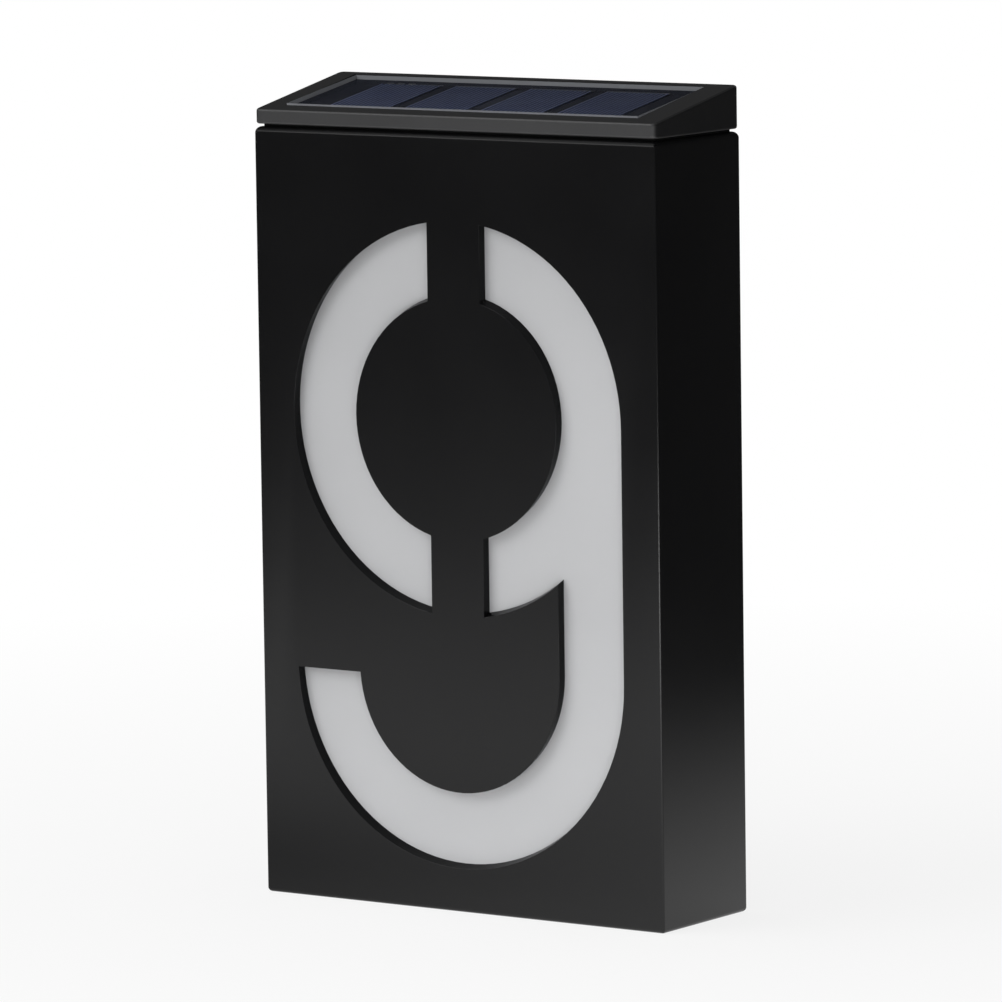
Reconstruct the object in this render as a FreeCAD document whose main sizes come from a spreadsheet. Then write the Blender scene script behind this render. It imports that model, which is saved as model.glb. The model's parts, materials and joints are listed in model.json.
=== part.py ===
import FreeCAD, Part
import math
import os
import re
import Sketcher
from FreeCAD import Placement, Rotation, Vector

# Illuminated house number sign, in millimetres. X runs to the right seen from the front, the front
# faces -Y, +Z is up. The origin is the centre of the back face, which lies on the wall. Heights in
# the expressions below are counted from the underside of the case.

DRIVING_SIZES = [
    # case
    ("case_width", 111.8),
    ("case_depth", 34.6),
    ("case_height", 180.0),
    ("front_wall", 2.3),
    ("side_wall", 2.0),
    ("floor_wall", 2.0),
    ("top_back_wall", 2.2),
    ("top_edge_round", 1.4),
    ("low_edge_round", 1.0),
    ("front_edge_round", 0.5),
    ("mouth_depth", 8.4),
    ("ledge_depth", 2.0),
    ("ledge_width", 2.1),
    ("rebate_drop", 10.0),
    ("rebate_edge", 0.2),
    ("boss_width", 9.0),
    ("boss_length", 12.0),
    ("back_screw_inset", 5.4),
    ("drain_radius", 1.2),
    # numeral
    ("numeral_margin", 10.2),
    ("numeral_headroom", 20.0),
    ("numeral_stroke", 17.7),
    ("hook_cut", 1.8),
    ("stencil_bar", 14.6),
    # diffuser and light tray
    ("diffuser_thickness", 2.0),
    ("diffuser_overlap", 5.0),
    ("diffuser_top_overlap", 4.2),
    ("gasket_thickness", 0.8),
    ("tray_wall", 1.4),
    ("tray_back_wall", 1.2),
    ("tray_side_clearance", 1.5),
    ("tray_corner", 15.0),
    ("tray_top_clearance", 0.7),
    # back plate
    ("plate_thickness", 2.5),
    ("fit_gap", 0.2),
    ("keyhole_spacing", 60.0),
    ("keyhole_drop", 48.0),
    ("keyhole_radius", 4.0),
    ("keyhole_slot_radius", 1.9),
    ("keyhole_slot_rise", 8.0),
    ("keyhole_pocket_depth", 3.1),
    ("keyhole_pocket_margin", 2.0),
    ("keyhole_wall", 1.2),
    # screws
    ("back_screw_radius", 1.45),
    ("back_screw_length", 10.0),
    ("back_head_radius", 2.8),
    ("back_head_height", 1.4),
    ("cap_screw_radius", 1.15),
    ("cap_screw_length", 7.0),
    ("cap_head_radius", 2.2),
    ("cap_head_height", 1.2),
    ("board_screw_radius", 0.8),
    ("board_screw_length", 4.0),
    ("board_head_radius", 1.6),
    ("board_head_height", 0.9),
    ("screw_clearance", 0.1),
    ("thread_gap", 0.05),
    ("screw_end_gap", 0.3),
    ("cross_length_ratio", 1.2),
    ("cross_width_ratio", 0.3),
    ("cross_depth_ratio", 0.6),
    # solar cap
    ("reveal", 0.6),
    ("cap_front_height", 3.4),
    ("cap_rear_height", 10.1),
    ("cap_corner_round", 1.5),
    ("cap_edge_round", 0.6),
    ("rim_front", 4.5),
    ("rim_rear", 1.9),
    ("rim_left", 5.9),
    ("rim_right", 7.4),
    ("neck_wall", 1.8),
    ("neck_length", 8.4),
    ("cap_floor", 1.4),
    ("cap_boss_radius", 2.7),
    ("cap_boss_inset", 4.0),
    ("seal_width", 0.6),
    ("seal_gap", 0.05),
    # solar panel
    ("panel_proud", 0.34),
    ("panel_fall", 0.6),
    ("panel_gap", 0.3),
    ("backsheet_thickness", 1.2),
    ("cell_thickness", 0.2),
    ("cover_thickness", 0.8),
    ("cell_gap", 3.7),
    ("cell_left_margin", 10.1),
    ("cell_right_margin", 6.7),
    ("cell_front_margin", 2.1),
    ("cell_rear_margin", 3.7),
    ("ribbon_width", 1.0),
    ("ribbon_length", 1.9),
    ("ribbon_pitch", 3.1),
    ("ribbon_margin", 0.8),
    ("ribbon_thickness", 0.1),
    # module base and battery bay
    ("base_thickness", 1.6),
    ("battery_radius", 7.1),
    ("battery_length", 50.5),
    ("battery_nub_radius", 2.75),
    ("battery_nub_length", 1.3),
    ("battery_room", 0.4),
    ("bay_wall", 1.2),
    ("bay_side_gap", 11.5),
    ("bay_front_gap", 4.4),
    ("bay_drop", 7.0),
    ("contact_thickness", 0.4),
    ("spring_length", 4.1),
    ("spring_wire_radius", 0.4),
    ("spring_radius", 3.6),
    ("spring_turns", 3),
    ("contact_half_width", 4.5),
    # battery door and hinge
    ("door_thickness", 1.6),
    ("pin_radius", 0.8),
    ("pin_clearance", 0.05),
    ("knuckle_radius", 1.4),
    ("knuckle_length", 6.0),
    ("knuckle_inset", 5.0),
    ("knuckle_gap", 0.3),
    ("hinge_offset", 1.6),
    ("hinge_drop", 0.6),
    ("latch_width", 7.0),
    ("latch_height", 1.6),
    ("latch_thickness", 1.0),
    ("latch_gap", 0.5),
    ("grip_width", 12.0),
    ("grip_height", 0.8),
    # control board and switch
    ("board_bay_gap", 1.2),
    ("board_side_gap", 7.5),
    ("board_front_gap", 5.5),
    ("board_back_gap", 1.6),
    ("board_rise", 3.4),
    ("board_thickness", 1.2),
    ("post_radius", 1.9),
    ("post_inset", 2.6),
    ("chip_front_inset", 3.0),
    ("chip_width", 5.0),
    ("chip_depth", 4.0),
    ("chip_height", 1.5),
    ("coil_offset", 1.0),
    ("coil_back_inset", 3.3),
    ("coil_radius", 2.2),
    ("coil_height", 3.6),
    ("capacitor_inset", 2.7),
    ("capacitor_radius", 1.8),
    ("capacitor_height", 4.0),
    ("switch_width", 8.6),
    ("switch_depth", 3.6),
    ("switch_lift", 0.1),
    ("switch_travel", 2.5),
    ("slider_width", 1.8),
    ("slider_depth", 1.4),
    ("slider_reach", 1.6),
    ("slider_gap", 0.3),
    ("slider_cover", 0.9),
    # light source
    ("led_board_side_gap", 11.3),
    ("led_board_depth", 4.0),
    ("led_board_thickness", 1.2),
    ("led_width", 3.5),
    ("led_depth", 2.8),
    ("led_height", 0.8),
    ("led_end_margin", 5.0),
    ("led_count", 6),
    # leads
    ("lead_radius", 0.5),
    ("lead_bend", 0.9),
    ("lead_spacing", 4.0),
    ("lead_hole_gap", 0.2),
    # how far a cutting outline runs past an open side
    ("overrun", 1.0),
    ("through_cut", 20.0),
]

DERIVED_SIZES = [
    ("base_level", "-case_height / 2"),
    ("case_half", "case_width / 2"),
    ("inner_half", "case_half - side_wall"),
    ("inner_front", "front_wall - case_depth"),
    ("rebate_depth", "plate_thickness + gasket_thickness"),
    ("rebate_top", "case_height - rebate_drop"),
    ("ledge_front", "-rebate_depth - ledge_depth"),
    ("rebate_half", "inner_half - rebate_edge"),
    ("rebate_low", "floor_wall + rebate_edge"),
    ("window_half", "rebate_half - ledge_width"),
    ("window_low", "rebate_low + ledge_width"),
    ("window_top", "rebate_top - ledge_width"),
    ("boss_edge", "inner_half - boss_width"),
    ("boss_low_top", "floor_wall + boss_width"),
    ("boss_high_low", "rebate_top - boss_width"),
    ("screw_side", "inner_half - back_screw_inset"),
    ("screw_low", "floor_wall + back_screw_inset"),
    ("screw_high", "rebate_top - back_screw_inset"),
    ("numeral_radius", "case_half - numeral_margin"),
    ("bowl_to_hook", "case_height - numeral_headroom - numeral_margin - 2 * numeral_radius"),
    ("hook_level", "numeral_margin + numeral_radius"),
    ("bowl_level", "hook_level + bowl_to_hook"),
    ("hook_end_level", "hook_level - hook_cut"),
    ("numeral_inner", "numeral_radius - numeral_stroke"),
    ("numeral_top", "bowl_level + numeral_radius"),
    ("diffuser_half", "numeral_radius + diffuser_overlap"),
    ("diffuser_top", "numeral_top + diffuser_top_overlap"),
    ("diffuser_back", "inner_front + diffuser_thickness"),
    ("tray_front", "diffuser_back + gasket_thickness"),
    ("tray_half", "numeral_radius + tray_side_clearance + tray_wall"),
    ("tray_top", "numeral_top + tray_top_clearance"),
    ("tray_back", "-plate_thickness - keyhole_pocket_depth - keyhole_wall"),
    ("tray_inner_half", "tray_half - tray_wall"),
    ("tray_inner_low", "floor_wall + tray_wall"),
    ("tray_inner_corner", "tray_corner + tray_wall * (sqrt(2) - 1)"),
    ("plate_half", "rebate_half - fit_gap"),
    ("plate_low", "rebate_low + fit_gap"),
    ("plate_top", "rebate_top - fit_gap"),
    ("cap_low", "case_height + reveal"),
    ("cap_front_top", "cap_low + cap_front_height"),
    ("cap_rear_top", "cap_low + cap_rear_height"),
    ("rim_slope", "(cap_rear_height - cap_front_height) / case_depth"),
    ("panel_slope", "rim_slope - panel_fall / (case_depth - rim_front - rim_rear)"),
    ("panel_angle", "atan(panel_slope)"),
    ("panel_cosine", "cos(panel_angle)"),
    ("recess_front", "rim_front - case_depth"),
    ("recess_run", "(case_depth - rim_front - rim_rear) / panel_cosine"),
    ("panel_stack", "backsheet_thickness + cell_thickness + cover_thickness"),
    ("panel_front_level", "cap_front_top + rim_slope * rim_front + panel_proud"),
    ("recess_level", "panel_front_level - panel_stack"),
    ("panel_left", "rim_left - case_half + panel_gap"),
    ("panel_width", "case_width - rim_left - rim_right - 2 * panel_gap"),
    ("panel_run", "recess_run - 2 * panel_gap"),
    ("cell_share", "panel_width - cell_left_margin - cell_right_margin + cell_gap"),
    ("cell_pitch", "cell_share / 4"),
    ("cell_width", "cell_pitch - cell_gap"),
    ("cell_length", "panel_run - cell_front_margin - cell_rear_margin"),
    ("neck_half", "inner_half - fit_gap"),
    ("neck_front", "inner_front + fit_gap"),
    ("neck_back", "-top_back_wall - fit_gap"),
    ("neck_low", "cap_low - neck_length"),
    ("well_half", "neck_half - neck_wall"),
    ("well_front", "neck_front + neck_wall"),
    ("well_back", "neck_back - neck_wall"),
    ("well_front_level", "recess_level + panel_slope * (well_front - recess_front) - cap_floor"),
    ("well_back_level", "recess_level + panel_slope * (well_back - recess_front) - cap_floor"),
    ("base_half", "well_half - fit_gap"),
    ("base_front", "well_front + fit_gap"),
    ("base_back", "well_back - fit_gap"),
    ("base_top", "neck_low + base_thickness"),
    ("cap_boss_side", "well_half - cap_boss_inset"),
    ("cap_boss_front", "well_front + cap_boss_inset"),
    ("cap_boss_back", "well_back - cap_boss_inset"),
    ("boss_low_reach", "panel_slope * (cap_boss_inset - cap_boss_radius)"),
    ("boss_high_reach", "panel_slope * (cap_boss_inset + cap_boss_radius)"),
    ("cap_boss_front_top", "well_front_level + boss_low_reach + cap_floor / 2"),
    ("cap_boss_back_top", "well_back_level - boss_high_reach + cap_floor / 2"),
    ("battery_bore", "battery_radius + battery_room"),
    ("bay_front", "base_front + bay_front_gap"),
    ("bay_back", "bay_front + 2 * (battery_bore + bay_wall)"),
    ("bay_inner_front", "bay_front + bay_wall"),
    ("bay_inner_back", "bay_back - bay_wall"),
    ("bay_end", "inner_half - bay_side_gap"),
    ("bay_level", "neck_low - bay_drop"),
    ("bay_top", "bay_level + 2 * battery_bore + bay_wall"),
    ("bay_inner_left", "bay_wall - bay_end"),
    ("battery_left", "bay_inner_left + contact_thickness + spring_length"),
    ("battery_right", "battery_left + battery_length"),
    ("bay_inner_right", "battery_right + contact_thickness"),
    ("bay_right", "bay_inner_right + bay_wall"),
    ("bay_length", "bay_right + bay_end"),
    ("battery_axis_y", "(bay_front + bay_back) / 2"),
    ("battery_axis_level", "bay_level + battery_bore"),
    ("door_low", "bay_level - door_thickness"),
    ("hinge_y", "bay_front - hinge_offset"),
    ("hinge_level", "bay_level - hinge_drop"),
    ("board_level", "base_top + board_rise"),
    ("board_top", "board_level + board_thickness"),
    ("board_left", "bay_right + board_bay_gap"),
    ("board_right", "well_half - board_side_gap"),
    ("board_width", "board_right - board_left"),
    ("board_front", "base_front + board_front_gap"),
    ("board_back", "base_back - board_back_gap"),
    ("board_depth", "board_back - board_front"),
    ("board_centre_x", "board_left + board_width / 2"),
    ("board_centre_y", "board_front + board_depth / 2"),
    ("switch_left", "board_centre_x - switch_width / 2"),
    ("switch_low", "base_top + switch_lift"),
    ("slider_left", "board_centre_x - switch_travel / 2 - slider_width / 2"),
    ("slot_left", "slider_left - slider_gap"),
    ("slot_width", "slider_width + switch_travel + 2 * slider_gap"),
    ("slot_depth", "slider_depth + 2 * slider_gap"),
    ("slider_low", "neck_low - slider_reach"),
    ("slider_top", "board_level - slider_cover - slider_gap"),
    ("led_board_half_width", "base_half - led_board_side_gap"),
    ("led_pitch", "2 * (led_board_half_width - led_end_margin) / (led_count - 1)"),
    ("led_board_front", "base_front"),
    ("led_board_level", "neck_low - led_board_thickness"),
    ("led_level", "led_board_level - led_height"),
    ("lead_hole_radius", "lead_radius + lead_hole_gap"),
    ("led_lead_y", "led_board_front + led_board_depth / 2"),
    ("plus_lead_level", "board_top + lead_radius"),
    ("minus_lead_y", "bay_front - lead_radius - lead_hole_gap"),
    ("led_lead_bend", "board_rise / 4"),
    ("plate_contact_height", "contact_half_width + plus_lead_level + lead_radius - battery_axis_level"),
    ("chip_left", "board_centre_x - chip_width / 2"),
    ("chip_front", "board_front + chip_front_inset"),
    ("coil_x", "board_centre_x - coil_offset"),
    ("coil_y", "board_back - coil_back_inset"),
    ("capacitor_x", "board_right - capacitor_inset"),
    ("capacitor_y", "board_centre_y"),
    ("door_middle", "(bay_right - bay_end) / 2"),
    ("door_barrel_left", "-bay_end + knuckle_inset + knuckle_length + knuckle_gap"),
    ("door_barrel_length", "bay_length - 2 * (knuckle_inset + knuckle_length + knuckle_gap)"),
    ("keyhole_level", "case_height - keyhole_drop"),
    ("pocket_reach", "keyhole_radius + keyhole_pocket_margin"),
    ("dome_reach", "pocket_reach + keyhole_wall"),
]

FUNCTION_NAMES = {"atan", "cos", "sqrt"}
CELL_COUNT = 4
RIBBON_COUNT = 3
ARCS_PER_TURN = 4
FULL_TURN = 360.0
SLACK = 0.01
SHORTEST_UPRIGHT = 0.5
ALONG_X = Rotation(Vector(0, 1, 0), 90)
TO_FRONT = Rotation(Vector(1, 0, 0), 90)
UPSIDE_DOWN = Rotation(Vector(1, 0, 0), 180)

doc = FreeCAD.newDocument("HouseNumberSign")
sub_parts = []


# ---------------------------------------------------------------- sheet and expressions

def fill_sheet():
    """Writes the driving sizes as plain numbers and the sizes that follow from them as formulas."""
    sheet = doc.addObject("Spreadsheet::Sheet", "Dims")
    row = 1
    for alias, number in DRIVING_SIZES:
        sheet.set("A%d" % row, alias)
        sheet.set("B%d" % row, str(number))
        sheet.setAlias("B%d" % row, alias)
        row += 1
    for alias, formula in DERIVED_SIZES:
        sheet.set("A%d" % row, alias)
        sheet.set("B%d" % row, "=" + formula)
        sheet.setAlias("B%d" % row, alias)
        row += 1
    doc.recompute()
    return sheet


def size(alias):
    """The number that a cell of the sheet holds."""
    value = sheet.get(alias)
    return float(getattr(value, "Value", value))


def with_sheet(expression):
    """Puts the sheet's name before every alias in an expression."""
    def prefix(match):
        word = match.group(0)
        return word if word in FUNCTION_NAMES else "Dims." + word
    return re.sub(r"[a-z][a-z_]+", prefix, str(expression))


def bind(thing, path, expression):
    thing.setExpression(path, with_sheet(expression))


def register(thing, label):
    thing.Label = label
    sub_parts.append(thing)
    return thing


def at_case_level(thing):
    """Moves a sub-part built from the case's underside to its height about the origin."""
    bind(thing, "Placement.Base.z", "base_level")


# ---------------------------------------------------------------- sketches and features

def new_body(label):
    body = doc.addObject("PartDesign::Body", label)
    at_case_level(body)
    return register(body, label)


def sketch_on(body, name, role, offset="0"):
    """A sketch on one of the body's origin planes, moved along that plane's normal."""
    plane = [item for item in body.Origin.OriginFeatures if item.Role == role][0]
    sketch = body.newObject("Sketcher::SketchObject", body.Name + "_" + name)
    sketch.AttachmentSupport = [(plane, "")]
    sketch.MapMode = "FlatFace"
    bind(sketch, "AttachmentOffset.Base.z", offset)
    return sketch


def pin(sketch, kind, geometry, position, expression, start=1.0):
    """Binds one coordinate of a point, or a radius, to an expression."""
    if kind == "Radius":
        constraint = Sketcher.Constraint(kind, geometry, start)
    else:
        constraint = Sketcher.Constraint(kind, -1, 1, geometry, position, start)
    index = sketch.addConstraint(constraint)
    bind(sketch, "Constraints[%d]" % index, expression)


def polygon(sketch, points):
    """A closed outline with each corner held at its two expressions."""
    count = len(points)
    first = sketch.GeometryCount
    turn = 2 * math.pi / count
    rough = [Vector(math.cos(turn * i), math.sin(turn * i), 0) for i in range(count)]
    for i in range(count):
        sketch.addGeometry(Part.LineSegment(rough[i], rough[(i + 1) % count]), False)
    for i in range(count):
        follower = first + (i + 1) % count
        sketch.addConstraint(Sketcher.Constraint("Coincident", first + i, 2, follower, 1))
    for i, (across, up) in enumerate(points):
        pin(sketch, "DistanceX", first + i, 1, across)
        pin(sketch, "DistanceY", first + i, 1, up)


def rectangle(sketch, left, right, low, high):
    polygon(sketch, [(left, low), (right, low), (right, high), (left, high)])


def circle(sketch, across, up, radius):
    index = sketch.addGeometry(Part.Circle(Vector(0, 0, 0), Vector(0, 0, 1), 1.0), False)
    pin(sketch, "Radius", index, 0, radius)
    pin(sketch, "DistanceX", index, 3, across)
    pin(sketch, "DistanceY", index, 3, up)


def pad(sketch, length, reverse=False, side="One side"):
    body = sketch.getParentGeoFeatureGroup()
    feature = body.newObject("PartDesign::Pad", sketch.Name + "_pad")
    feature.Profile = sketch
    feature.Reversed = reverse
    feature.SideType = side
    bind(feature, "Length", length)
    doc.recompute()
    return feature


def pocket(sketch, length, reverse=False, side="One side"):
    """Cuts away from the sketch's normal, or along it when reversed, and must remove material."""
    body = sketch.getParentGeoFeatureGroup()
    before = body.Shape.Volume
    feature = body.newObject("PartDesign::Pocket", sketch.Name + "_pocket")
    feature.Profile = sketch
    feature.Reversed = reverse
    feature.SideType = side
    bind(feature, "Length", length)
    doc.recompute()
    if body.Shape.Volume >= before:
        raise RuntimeError(feature.Name + " cuts nothing")
    return feature


def edge_names(feature, wanted):
    """The names of those edges of a feature that the test accepts."""
    names = ["Edge%d" % (i + 1) for i, edge in enumerate(feature.Shape.Edges) if wanted(edge)]
    if not names:
        raise RuntimeError(feature.Name + " has no edge to work on")
    return names


def round_edges(body, name, radius, wanted):
    """Rounds those edges of the body's last feature that the test accepts."""
    doc.recompute()
    base = body.Tip
    names = edge_names(base, wanted)
    feature = body.newObject("PartDesign::Fillet", body.Name + "_" + name)
    feature.Base = (base, names)
    bind(feature, "Radius", radius)
    doc.recompute()
    return feature


def near(first, second, slack=SLACK):
    return abs(first - second) < slack


def upright(edge):
    box = edge.BoundBox
    return near(box.XLength, 0) and near(box.YLength, 0) and box.ZLength > SHORTEST_UPRIGHT


def level_at(edge, height):
    return near(edge.BoundBox.ZMin, height) and near(edge.BoundBox.ZMax, height)


# ---------------------------------------------------------------- primitives

def block(name, left, front, low, width, depth, height):
    """A box by its left, front and lower corner and its three sizes."""
    box = doc.addObject("Part::Box", name)
    bind(box, "Length", width)
    bind(box, "Width", depth)
    bind(box, "Height", height)
    bind(box, "Placement.Base.x", left)
    bind(box, "Placement.Base.y", front)
    bind(box, "Placement.Base.z", low)
    return box


def rod(name, across, along, low, radius, length, turn=Rotation()):
    """A cylinder from a centre point, standing up or turned onto another axis."""
    cylinder = doc.addObject("Part::Cylinder", name)
    bind(cylinder, "Radius", radius)
    bind(cylinder, "Height", length)
    cylinder.Placement.Rotation = turn
    bind(cylinder, "Placement.Base.x", across)
    bind(cylinder, "Placement.Base.y", along)
    bind(cylinder, "Placement.Base.z", low)
    return cylinder


def union(name, pieces):
    fused = doc.addObject("Part::MultiFuse", name)
    fused.Shapes = pieces
    return fused


def minus(name, base, tool):
    cut = doc.addObject("Part::Cut", name)
    cut.Base = base
    cut.Tool = tool
    return cut


def group(name, pieces):
    together = doc.addObject("Part::Compound", name)
    together.Links = pieces
    return together


def screw(name, sizes, across, along, low, turn=Rotation(), sunk=True):
    """A screw with a cross in its head, whose head starts at the given point."""
    head = doc.addObject("Part::Cone" if sunk else "Part::Cylinder", name + "_head")
    if sunk:
        bind(head, "Radius1", sizes + "_head_radius")
        bind(head, "Radius2", sizes + "_screw_radius")
    else:
        bind(head, "Radius", sizes + "_head_radius")
    bind(head, "Height", sizes + "_head_height")
    shank = rod(name + "_shank", "0", "0", "0", sizes + "_screw_radius", sizes + "_screw_length")
    long_side = "cross_length_ratio * %s_head_radius" % sizes
    short_side = "cross_width_ratio * %s_head_radius" % sizes
    depth = "cross_depth_ratio * %s_head_height" % sizes
    arms = []
    for arm, (wide, deep) in enumerate([(long_side, short_side), (short_side, long_side)]):
        arms.append(block("%s_arm%d" % (name, arm), "-%s / 2" % wide, "-%s / 2" % deep, "0",
                          wide, deep, depth))
    whole = minus(name, union(name + "_blank", [head, shank]), union(name + "_cross", arms))
    whole.Placement.Rotation = turn
    bind(whole, "Placement.Base.x", across)
    bind(whole, "Placement.Base.y", along)
    bind(whole, "Placement.Base.z", low)
    return whole


# ---------------------------------------------------------------- case

def numeral_left(sketch):
    """The left half ring of the numeral, closed by the edge of the centre bar."""
    outer = size("numeral_radius")
    inner = size("numeral_inner")
    level = size("bowl_level")
    bar = size("stencil_bar") / 2
    centre = Vector(0, level, 0)
    outer_turn = math.acos(-bar / outer)
    inner_turn = math.acos(-bar / inner)
    ring = [(outer, outer_turn), (inner, inner_turn)]
    for radius, turn in ring:
        rim = Part.Circle(centre, Vector(0, 0, 1), radius)
        sketch.addGeometry(Part.ArcOfCircle(rim, turn, 2 * math.pi - turn), False)
    high = [math.sqrt(radius ** 2 - bar ** 2) for radius, turn in ring]
    top = (Vector(-bar, level + high[0], 0), Vector(-bar, level + high[1], 0))
    low = (Vector(-bar, level - high[0], 0), Vector(-bar, level - high[1], 0))
    sketch.addGeometry(Part.LineSegment(*top), False)
    sketch.addGeometry(Part.LineSegment(*low), False)
    joins = [(0, 1, 2, 1), (1, 1, 2, 2), (0, 2, 3, 1), (1, 2, 3, 2)]
    for first, start, second, end in joins:
        sketch.addConstraint(Sketcher.Constraint("Coincident", first, start, second, end))
    for arc, radius in [(0, "numeral_radius"), (1, "numeral_inner")]:
        pin(sketch, "Radius", arc, 0, radius, size(radius))
        pin(sketch, "DistanceX", arc, 3, "0", 0.0)
        pin(sketch, "DistanceY", arc, 3, "bowl_level", level)
    for line in (2, 3):
        sketch.addConstraint(Sketcher.Constraint("Vertical", line))
        pin(sketch, "DistanceX", line, 1, "-stencil_bar / 2", -bar)


def numeral_right(sketch):
    """The right half ring, running down the stem and round the lower hook."""
    outer = size("numeral_radius")
    inner = size("numeral_inner")
    bowl = size("bowl_level")
    hook = size("hook_level")
    hook_end = size("hook_end_level")
    bar = size("stencil_bar") / 2
    outer_turn = math.acos(bar / outer)
    inner_turn = math.acos(bar / inner)
    outer_cut = math.asin(size("hook_cut") / outer)
    inner_cut = math.asin(size("hook_cut") / inner)
    notch_turn = math.acos(inner / outer)
    outer_rise = outer * math.sin(outer_turn)
    inner_rise = inner * math.sin(inner_turn)
    notch = bowl - outer * math.sin(notch_turn)
    arcs = [
        (bowl, outer, 0, outer_turn),
        (hook, outer, math.pi + outer_cut, 2 * math.pi),
        (hook, inner, math.pi + inner_cut, 2 * math.pi),
        (bowl, outer, -outer_turn, -notch_turn),
        (bowl, inner, -inner_turn, inner_turn),
    ]
    for level, radius, start, end in arcs:
        rim = Part.Circle(Vector(0, level, 0), Vector(0, 0, 1), radius)
        sketch.addGeometry(Part.ArcOfCircle(rim, start, end), False)
    lines = [
        ((outer, bowl), (outer, hook)),
        ((-outer * math.cos(outer_cut), hook_end), (-inner * math.cos(inner_cut), hook_end)),
        ((inner, hook), (inner, notch)),
        ((bar, bowl - outer_rise), (bar, bowl - inner_rise)),
        ((bar, bowl + inner_rise), (bar, bowl + outer_rise)),
    ]
    for start, end in lines:
        sketch.addGeometry(Part.LineSegment(Vector(*start, 0), Vector(*end, 0)), False)
    joins = [(0, 1, 5, 1), (5, 2, 1, 2), (1, 1, 6, 1), (6, 2, 2, 1), (2, 2, 7, 1),
             (7, 2, 3, 2), (3, 1, 8, 1), (8, 2, 4, 1), (4, 2, 9, 1), (9, 2, 0, 2)]
    for first, start, second, end in joins:
        sketch.addConstraint(Sketcher.Constraint("Coincident", first, start, second, end))
    names = [("bowl_level", "numeral_radius"), ("hook_level", "numeral_radius"),
             ("hook_level", "numeral_inner"), ("bowl_level", "numeral_radius"),
             ("bowl_level", "numeral_inner")]
    for arc, (level, radius) in enumerate(names):
        pin(sketch, "Radius", arc, 0, radius, size(radius))
        pin(sketch, "DistanceX", arc, 3, "0", 0.0)
        pin(sketch, "DistanceY", arc, 3, level, size(level))
    pin(sketch, "DistanceY", 0, 1, "bowl_level", bowl)
    for arc in (1, 2):
        pin(sketch, "DistanceY", arc, 1, "hook_end_level", hook_end)
        pin(sketch, "DistanceY", arc, 2, "hook_level", hook)
    sketch.addConstraint(Sketcher.Constraint("Vertical", 7))
    for line in (8, 9):
        sketch.addConstraint(Sketcher.Constraint("Vertical", line))
        pin(sketch, "DistanceX", line, 1, "stencil_bar / 2", bar)


def make_front_case():
    body = new_body("front_case")
    outline = sketch_on(body, "outline", "XZ_Plane")
    rectangle(outline, "-case_half", "case_half", "0", "case_height")
    pad(outline, "case_depth")

    chamber = sketch_on(body, "chamber", "XY_Plane", "case_height")
    rectangle(chamber, "-inner_half", "inner_half", "inner_front", "ledge_front")
    pocket(chamber, "case_height - floor_wall")
    mouth = sketch_on(body, "mouth", "XY_Plane", "case_height")
    rectangle(mouth, "-inner_half", "inner_half", "ledge_front - overrun", "-top_back_wall")
    pocket(mouth, "mouth_depth")

    rebate = sketch_on(body, "rebate", "XZ_Plane")
    rectangle(rebate, "-rebate_half", "rebate_half", "rebate_low", "rebate_top")
    pocket(rebate, "rebate_depth", reverse=True)
    window = sketch_on(body, "window", "XZ_Plane")
    rectangle(window, "-window_half", "window_half", "window_low", "window_top")
    pocket(window, "rebate_depth + ledge_depth + overrun", reverse=True)

    bosses = sketch_on(body, "bosses", "XZ_Plane", "rebate_depth")
    levels = [("floor_wall / 2", "boss_low_top"), ("boss_high_low", "rebate_top - rebate_edge")]
    for low, high in levels:
        rectangle(bosses, "-inner_half - side_wall / 2", "-boss_edge", low, high)
        rectangle(bosses, "boss_edge", "inner_half + side_wall / 2", low, high)
    pad(bosses, "boss_length")
    holes = sketch_on(body, "holes", "XZ_Plane", "rebate_depth")
    for level in ("screw_low", "screw_high"):
        for side in ("-", ""):
            circle(holes, side + "screw_side", level, "back_screw_radius + thread_gap")
    pocket(holes, "back_screw_length - plate_thickness", reverse=True)

    left_part = sketch_on(body, "numeral_left", "XZ_Plane", "case_depth")
    numeral_left(left_part)
    pocket(left_part, "front_wall")
    right_part = sketch_on(body, "numeral_right", "XZ_Plane", "case_depth")
    numeral_right(right_part)
    pocket(right_part, "front_wall")

    drains = sketch_on(body, "drains", "XY_Plane", "floor_wall")
    for side in ("-", ""):
        circle(drains, side + "(inner_half + tray_half) / 2", "-case_depth / 2", "drain_radius")
    pocket(drains, "floor_wall")

    half = size("case_half")
    front = -size("case_depth")
    top = size("case_height")

    def corner_upright(edge):
        return upright(edge) and near(abs(edge.BoundBox.XMin), half)

    def outer_level(edge, height):
        box = edge.BoundBox
        on_side = near(abs(box.XMin), half) and near(box.XLength, 0)
        on_end = near(box.YLength, 0) and (near(box.YMin, front) or near(box.YMin, 0))
        on_corner = near(abs(edge.CenterOfMass.x), half, size("front_edge_round"))
        return level_at(edge, height) and (on_side or on_end or on_corner)

    round_edges(body, "corner_rounds", "front_edge_round", corner_upright)
    round_edges(body, "top_round", "top_edge_round", lambda edge: outer_level(edge, top))
    round_edges(body, "low_round", "low_edge_round", lambda edge: outer_level(edge, 0))


def make_diffuser():
    panel = block("diffuser_panel", "-diffuser_half", "inner_front", "base_level + floor_wall",
                  "2 * diffuser_half", "diffuser_thickness", "diffuser_top - floor_wall")
    register(panel, "diffuser_panel")


def tray_outline(half, low, corner):
    """The tray's outline seen from the front, with its two lower corners cut off."""
    return [("-" + half, "tray_top"), ("-" + half, low + " + " + corner),
            ("-" + half + " + " + corner, low), (half + " - " + corner, low),
            (half, low + " + " + corner), (half, "tray_top")]


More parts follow.
